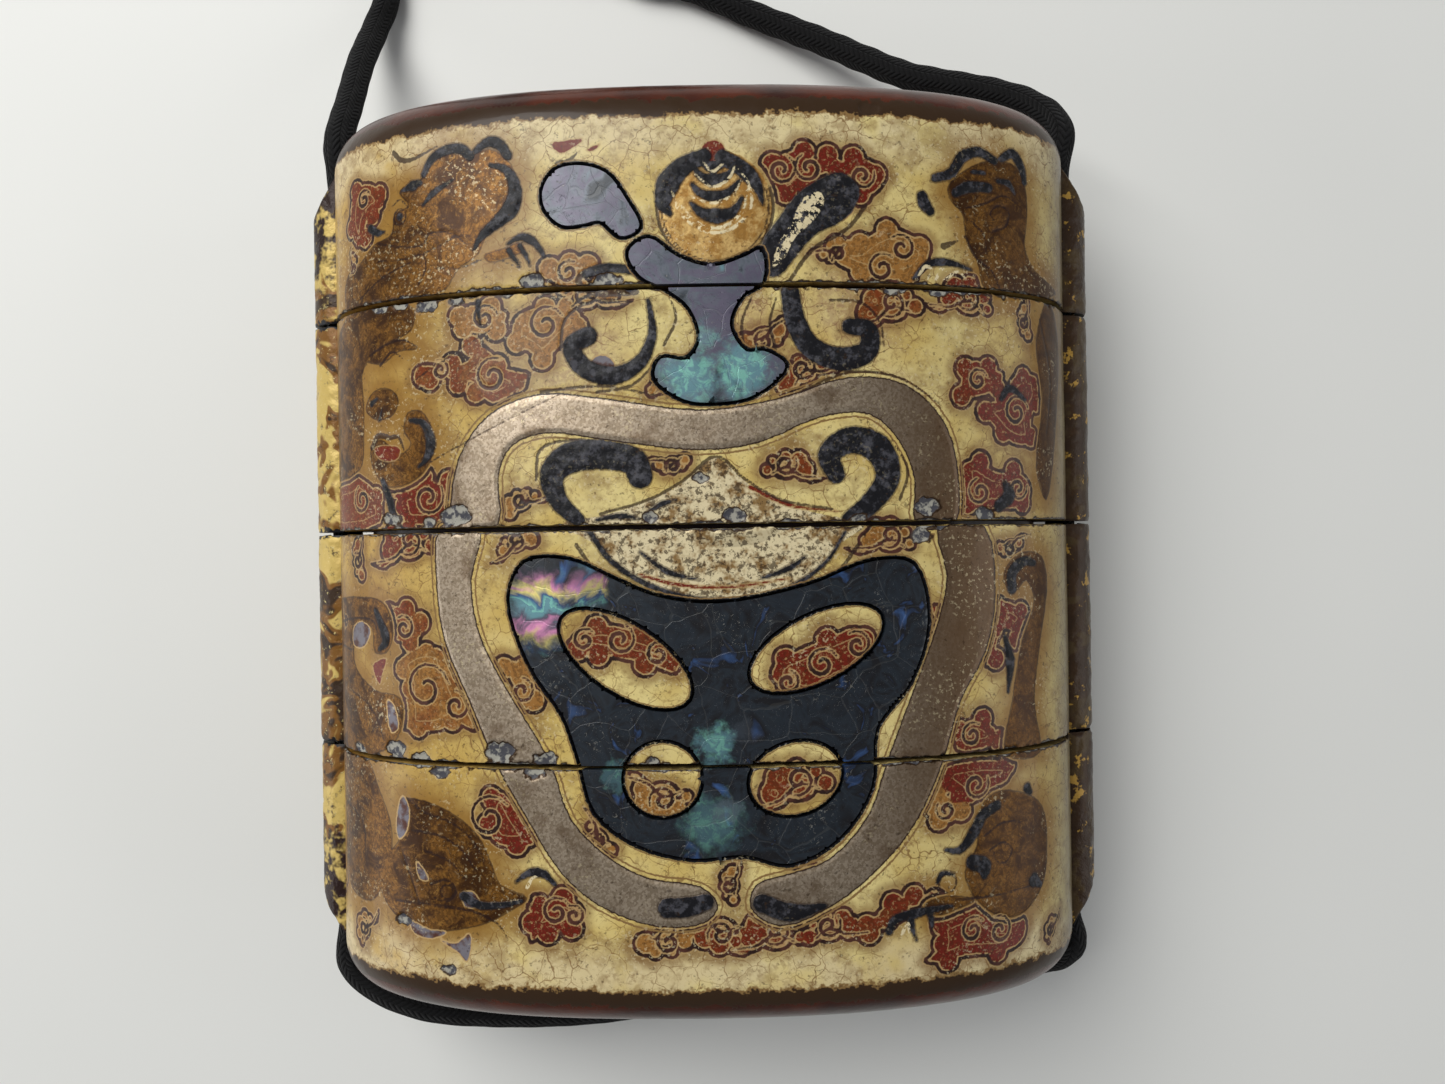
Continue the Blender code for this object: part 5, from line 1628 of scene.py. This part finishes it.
def shell_finish(colours):
    """Mother-of-pearl let in as thin leaves: nearly black, grey-blue near the lid, with gleams of colour."""
    f = Finish("shell_inlay")
    warped = f.wander(5 * MM, 4 * MM)
    drift = f.noise(3.5 * MM, 3.0, 0.6, 1.2, vector=warped)
    side = f.parts(f.place)
    dark = f.ramp(drift, (0.35, colours.black), (0.5, colours.shell_dark), (0.62, colours.black),
                  (0.75, colours.shell_blue))
    mist = f.ramp(drift, (0.32, colours.shell_dark), (0.44, colours.shell_mist), (0.56, colours.shell_violet),
                  (0.66, colours.shell_mist), (0.8, colours.shell_teal))
    # The shells high on the body, on the lid and upper case, turn grey-blue: partly the shell's own colour,
    # partly painted sheen
    colour = f.mix(f.level(side[1], 4 * MM, 10 * MM), dark, mist)

    fringe = f.math("FRACT", f.scaled(side[1], 210.0, f.scaled(drift, 1.1, 0.36)))
    rainbow = f.ramp(fringe, (0.0, colours.shell_green), (0.16, colours.shell_blue),
                     (0.36, colours.shell_gold), (0.52, colours.shell_rose), (0.72, colours.shell_violet),
                     (0.9, colours.shell_teal))
    # Painted highlights: iridescent gleams of the shell fixed at given places
    for spot in RAINBOW_GLEAMS:
        colour = f.mix(f.spot(*spot), colour, rainbow)
    lit = f.mix(f.patches(0.9, 0.45, 0.6, 3.0, 0.7, 0.6), colours.shell_teal, colours.shell_green)
    for spot in TEAL_GLEAMS:
        colour = f.mix(f.spot(*spot), colour, lit)
    for spot in MIST_GLEAMS:
        colour = f.mix(f.spot(*spot), colour, colours.shell_mist)
    broken = f.wander(3.0 * MM, 1.2 * MM)
    crack = f.level(f.cells(3.6 * MM, vector=broken), 0.006, 0.016, 1.0, 0.0)
    scratch = f.patches(0.5, 0.60, 0.66, 3.0, 0.8, 2.0)
    zone = f.patches(4, 0.5, 0.65, 2.0)
    colour = f.tint(colour, colours.chip, crack, 0.05)
    colour = f.tint(colour, colours.chip, f.times(scratch, zone), 0.4)
    lump = f.math("SUBTRACT", f.noise(3.0 * MM, 2.0), f.times(f.math("MAXIMUM", crack, scratch), 0.2))
    roughness = f.scaled(f.noise(1.2 * MM, 3.0), 0.3, 0.2)
    return f.finish(base_color=colour, roughness=roughness, metallic=0.2, normal=f.bump(lump, 0.06 * MM),
                    specular_ior_level=0.4, coat_weight=0.15, coat_roughness=0.15)


def cord_finish(colours):
    """Braided black cord: strands meeting in rows of chevrons, with a soft dull nap."""
    f = Finish("black_braid")
    split = f.parts(f.nodes.new("ShaderNodeUVMap").outputs[0])
    fold = f.math("PINGPONG", split[0], CORD_TURN / 12)
    chevron = f.scaled(fold, 1.1, split[1])
    strand = f.math("ABSOLUTE", f.math("SINE", f.times(chevron, math.pi / 0.62)))
    groove = f.level(f.math("PINGPONG", split[0], CORD_TURN / 12), 0.0, 0.12)
    strand = f.times(strand, groove)
    nap = f.noise(0.22 * MM, 2.0, 0.7)
    # Painted shade: the cord darker between its strands
    colour = f.mix(f.level(strand, 0.3, 0.9), colours.cord_dark, colours.cord)
    colour = f.mix(f.level(nap, 0.55, 0.75, 0.0, 0.5), colour, colours.cord_nap)
    lump = f.scaled(nap, 0.5, strand)
    return f.finish(base_color=colour, roughness=0.95, normal=f.bump(lump, 0.14 * MM),
                    specular_ior_level=0.15, sheen_weight=0.04, sheen_roughness=0.6)


def floor_finish(colours):
    """A plain pale tabletop with a faint unevenness."""
    f = Finish("pale_tabletop")
    soft = f.noise(30 * MM, 2.0)
    colour = f.tint(colours.floor, colours.floor_shade, soft, 0.25)
    return f.finish(base_color=colour, roughness=0.6)


# Colours that a user would change: what each is for, and its linear value
COLOURS = {
    "cream": ("Aged cream ground", (0.64, 0.53, 0.225)),
    "aged_cream": ("Yellowed parts of the ground", (0.52, 0.38, 0.115)),
    "golden_cream": ("Ground on the left side", (0.40, 0.235, 0.045)),
    # The ground on the right side is partly painted shade
    "dull_cream": ("Ground on the right side", (0.36, 0.28, 0.13)),
    "stain": ("Brown stains in the ground", (0.21, 0.125, 0.045)),
    "halo": ("Brown shade round the clouds and dragons", (0.17, 0.085, 0.025)),
    "gold_shade": ("Gold-brown haze round the dragons", (0.215, 0.105, 0.018)),
    "line": ("Dark drawn lines", (0.022, 0.010, 0.008)),
    "pale_line": ("Gold-cream drawn lines", (0.42, 0.28, 0.12)),
    "tan": ("Tan clouds", (0.27, 0.125, 0.030)),
    "plum": ("Purple-brown outlines", (0.070, 0.026, 0.018)),
    "brick": ("Brown-red clouds", (0.16, 0.035, 0.008)),
    "red": ("Red clouds", (0.13, 0.012, 0.006)),
    "rose_wash": ("Thin rose-brown paint near the crest", (0.26, 0.145, 0.095)),
    "ash": ("Grey-mauve patches", (0.15, 0.14, 0.16)),
    "hide": ("Gold-brown dragons", (0.175, 0.078, 0.014)),
    "dark_hide": ("Shaded dragon parts", (0.042, 0.016, 0.004)),
    "light_hide": ("Bright gold parts", (0.30, 0.155, 0.035)),
    "band": ("Metal-dust band", (0.25, 0.195, 0.135)),
    "band_fleck": ("Bright flecks in the band", (0.46, 0.38, 0.29)),
    # Also the painted shade over the right part of the band
    "band_worn": ("Brown worn parts of the band", (0.105, 0.060, 0.030)),
    "amber": ("Jewel ground", (0.50, 0.33, 0.12)),
    "ivory": ("Peaked motif and rubbed rims", (0.62, 0.53, 0.33)),
    "black": ("Black relief", (0.007, 0.007, 0.009)),
    "black_worn": ("Rubbed black relief", (0.055, 0.055, 0.065)),
    # This dark brown is real dirt in pits, chips and along the rims, and also the painted shade on the right
    # side of the cases and of the right runners
    "grime": ("Dirt in pits and along rims", (0.035, 0.018, 0.008)),
    "chip": ("Bare ground in chips", (0.30, 0.29, 0.25)),
    "end_lacquer": ("Red-brown lacquer of both ends", (0.085, 0.020, 0.009)),
    "end_dark": ("Darker lacquer of the ends and inside", (0.035, 0.012, 0.008)),
    "shell_dark": ("Shell away from the light", (0.014, 0.020, 0.028)),
    "shell_mist": ("Grey-blue shell near the lid", (0.085, 0.10, 0.125)),
    "shell_blue": ("Blue gleam", (0.035, 0.085, 0.22)),
    "shell_teal": ("Teal gleam", (0.12, 0.27, 0.31)),
    "shell_violet": ("Violet gleam", (0.085, 0.075, 0.115)),
    "shell_rose": ("Rose gleam", (0.65, 0.25, 0.45)),
    "shell_gold": ("Yellow gleam", (0.72, 0.62, 0.20)),
    "shell_green": ("Green gleam", (0.20, 0.50, 0.42)),
    "cord": ("Black cord", (0.006, 0.006, 0.0065)),
    "cord_dark": ("Between the strands", (0.0018, 0.0018, 0.002)),
    "cord_nap": ("Nap that catches the light", (0.014, 0.014, 0.016)),
    "floor": ("Tabletop", (0.72, 0.725, 0.70)),
    "floor_shade": ("Uneven parts of the tabletop", (0.64, 0.65, 0.63)),
}


def colour_setting(name, description, default):
    """A linear colour setting."""
    return FloatVectorProperty(name=name.replace("_", " ").title(), description=description, subtype="COLOR",
                               size=3, min=0.0, max=1.0, default=default)


class InroColours(bpy.types.PropertyGroup):
    """Colours of the lacquer, shell, cord and floor."""

    __annotations__ = {name: colour_setting(name, *setting) for name, setting in COLOURS.items()}


class InroSizes(bpy.types.PropertyGroup):
    """Sizes of the stage and of the finish."""

    floor_size: FloatProperty(name="Floor Size", description="Width of the tabletop", default=1.6, min=0.3,
                              subtype="DISTANCE", unit="LENGTH")
    key_energy: FloatProperty(name="Key Light", description="Power of the large overhead window", default=3.0,
                              min=0.0, unit="POWER")
    side_energy: FloatProperty(name="Side Light", description="Power of the low light on the left",
                               default=0.5,
                               min=0.0, unit="POWER")
    fill_energy: FloatProperty(name="Fill Light", description="Power of the weak light on the right",
                               default=0.55,
                               min=0.0, unit="POWER")
    world_strength: FloatProperty(name="Room Light", description="Strength of the even room light",
                                  default=0.2,
                                  min=0.0)


# Materials are made once and shared
FINISHES = {"lacquer": lacquer_finish, "runner": runner_finish, "shell": shell_finish, "cord": cord_finish,
            "floor": floor_finish}
MADE = {}


def dress(piece, finish, slot=None):
    """Give a piece its material and, when a slot is named, tie it to the root body."""
    if finish not in MADE:
        MADE[finish] = FINISHES[finish](bpy.context.scene.inro_colours)
    piece.data.materials.clear()
    piece.data.materials.append(MADE[finish])
    if slot:
        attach(piece, "root")


# Lights: name, place, the point it looks at, width and height, the setting of its power, and colour
LIGHTS = [("window", (-0.24, 0.26, 0.42), (0.0, 0.0, 0.0), (0.38, 0.38), "key_energy", (1.0, 0.99, 0.965)),
          ("low_window", (-0.46, -0.10, 0.12), (0.0, 0.0, 0.01), (0.30, 0.20), "side_energy",
           (0.97, 0.98, 1.0)),
          ("far_wall", (0.48, -0.04, 0.20), (0.0, 0.0, 0.01), (0.36, 0.30), "fill_energy",
           (0.97, 0.985, 1.0))]
ROOM_COLOUR = (0.93, 0.95, 1.0, 1.0)


def add_area_light(name, place, target, size, energy, colour):
    """A soft rectangular light that looks at a point."""
    deselect()
    bpy.ops.object.light_add(type="AREA", location=place)
    light = bpy.context.object
    light.name = name
    light.data.shape = "RECTANGLE"
    light.data.size, light.data.size_y = size
    light.data.energy = energy
    light.data.color = colour
    light.rotation_euler = (Vector(target) - Vector(place)).to_track_quat("-Z", "Y").to_euler()


class INRO_OT_stage(bpy.types.Operator):
    """Add the camera, the tabletop and the lights"""

    bl_idname = "inro.stage"
    bl_label = "Stage"

    def execute(self, context):
        sizes = context.scene.inro_sizes
        deselect()
        bpy.ops.object.camera_add(location=CAMERA_PLACE, rotation=(0.0, 0.0, -CAMERA_ROLL))
        camera = context.object
        camera.name = "overhead_camera"
        camera.data.sensor_width = SENSOR_WIDTH
        camera.data.lens = SENSOR_WIDTH * FOCAL_PIXELS / PHOTO_SIZE[0]
        camera.data.clip_start = 0.01
        context.scene.camera = camera
        deselect()
        bpy.ops.mesh.primitive_plane_add(size=sizes.floor_size, location=(0.0, 0.0, -0.00002))
        tabletop = context.object
        tabletop.name = "tabletop"
        dress(tabletop, "floor")
        for name, place, target, size, setting, colour in LIGHTS:
            add_area_light(name, place, target, size, getattr(sizes, setting), colour)
        world = bpy.data.worlds.new("room")
        world.use_nodes = True
        background = world.node_tree.nodes["Background"]
        background.inputs["Color"].default_value = ROOM_COLOUR
        background.inputs["Strength"].default_value = sizes.world_strength
        context.scene.world = world
        context.scene.view_settings.view_transform = "Standard"
        return {"FINISHED"}


class INRO_OT_cords(bpy.types.Operator):
    """Add the braided cord, its two free ends and the knot that joins them"""

    bl_idname = "inro.cords"
    bl_label = "Cords"

    def execute(self, context):
        turns = np.linspace(0, 2 * math.pi, 73)[:-1]
        loop = np.stack((np.sin(turns) + 2 * np.sin(2 * turns), np.cos(turns) - 2 * np.cos(2 * turns),
                         -np.sin(3 * turns)), 1) * np.array(KNOT_LOOP) + np.array(KNOT_CENTRE)
        knot = braided_tube("knot_finish", loop, KNOT_STRAND, closed=True)
        dress(knot, "cord", "cord")
        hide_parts("knot")
        through, left, right = cord_paths()
        names = (("cord_through_finish", through, THROUGH_LENGTH, ["cord_through"]),
                 ("cord_left_finish", left, LEFT_LENGTH, ["cord_left"]),
                 ("cord_right_finish", right, RIGHT_LENGTH, ["cord_right", "cord_coil"]))
        for name, path, length, nodes in names:
            piece = braided_tube(name, path, CORD_RADIUS)
            dress(piece, "cord", "cord")
            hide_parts(*nodes)
        return {"FINISHED"}


class INRO_OT_cases(bpy.types.Operator):
    """Add the painted lacquer of the lid and the three cases"""

    bl_idname = "inro.cases"
    bl_label = "Cases"

    def execute(self, context):
        for name in ("lower_case", "middle_case", "upper_case", "lid"):
            piece = bend_case(name)
            dress(piece, "lacquer", "lacquer")
            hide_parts(name)
        return {"FINISHED"}


class INRO_OT_runners(bpy.types.Operator):
    """Add the half-round cord runners on both sides of each piece"""

    bl_idname = "inro.runners"
    bl_label = "Runners"

    def execute(self, context):
        spans = {"lower": (BASE_END, LOWER_TOP), "middle": (MIDDLE_BOTTOM, MIDDLE_TOP),
                 "upper": (UPPER_BOTTOM, UPPER_TOP), "lid": (LID_BOTTOM, LID_END)}
        for name, (bottom, top) in spans.items():
            for side, word in ((-1, "left"), (1, "right")):
                piece = bend_runner(f"{name}_runner_{word}", side, bottom, top)
                dress(piece, "runner", "lacquer")
        return {"FINISHED"}


class INRO_OT_inlays(bpy.types.Operator):
    """Add the mother-of-pearl inlays"""

    bl_idname = "inro.inlays"
    bl_label = "Shell Inlays"

    def execute(self, context):
        for name, outline, openings, low, high in (
                ("shell_petal", PETAL, [], LID_BOTTOM, LID_END),
                ("shell_crest_top", CREST, [], LID_BOTTOM, LID_END),
                ("shell_crest_stem", CREST, [], UPPER_BOTTOM, UPPER_TOP),
                ("shell_plaque_upper", PLAQUE, PLAQUE_OPENINGS, MIDDLE_BOTTOM, MIDDLE_TOP),
                ("shell_plaque_lower", PLAQUE, PLAQUE_OPENINGS, BASE_END, LOWER_TOP)):
            piece = cut_shell(name + "_finish", outline, openings, low, high)
            dress(piece, "shell", "shell")
            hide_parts(name)
        return {"FINISHED"}


class INRO_PT_finish(bpy.types.Panel):
    """Lists the steps that finish the inro"""

    bl_idname = "INRO_PT_finish"
    bl_label = "Inro Finish"
    bl_space_type = "VIEW_3D"
    bl_region_type = "UI"
    bl_category = "Inro"

    def draw(self, context):
        for step in STEPS:
            self.layout.operator(step.bl_idname)
        for group in (context.scene.inro_sizes, context.scene.inro_colours):
            for name in group.__annotations__:
                self.layout.prop(group, name)


STEPS = (INRO_OT_stage, INRO_OT_cords, INRO_OT_cases, INRO_OT_runners, INRO_OT_inlays)
CLASSES = (InroColours, InroSizes, *STEPS, INRO_PT_finish)


def register():
    for item in CLASSES:
        bpy.utils.register_class(item)
    bpy.types.Scene.inro_colours = PointerProperty(type=InroColours)
    bpy.types.Scene.inro_sizes = PointerProperty(type=InroSizes)


def unregister():
    del bpy.types.Scene.inro_sizes
    del bpy.types.Scene.inro_colours
    for item in reversed(CLASSES):
        bpy.utils.unregister_class(item)


def main():
    """Run each step in turn."""
    register()
    bpy.ops.inro.stage()
    bpy.ops.inro.cords()
    bpy.ops.inro.cases()
    bpy.ops.inro.runners()
    bpy.ops.inro.inlays()


if __name__ == "__main__":
    main()
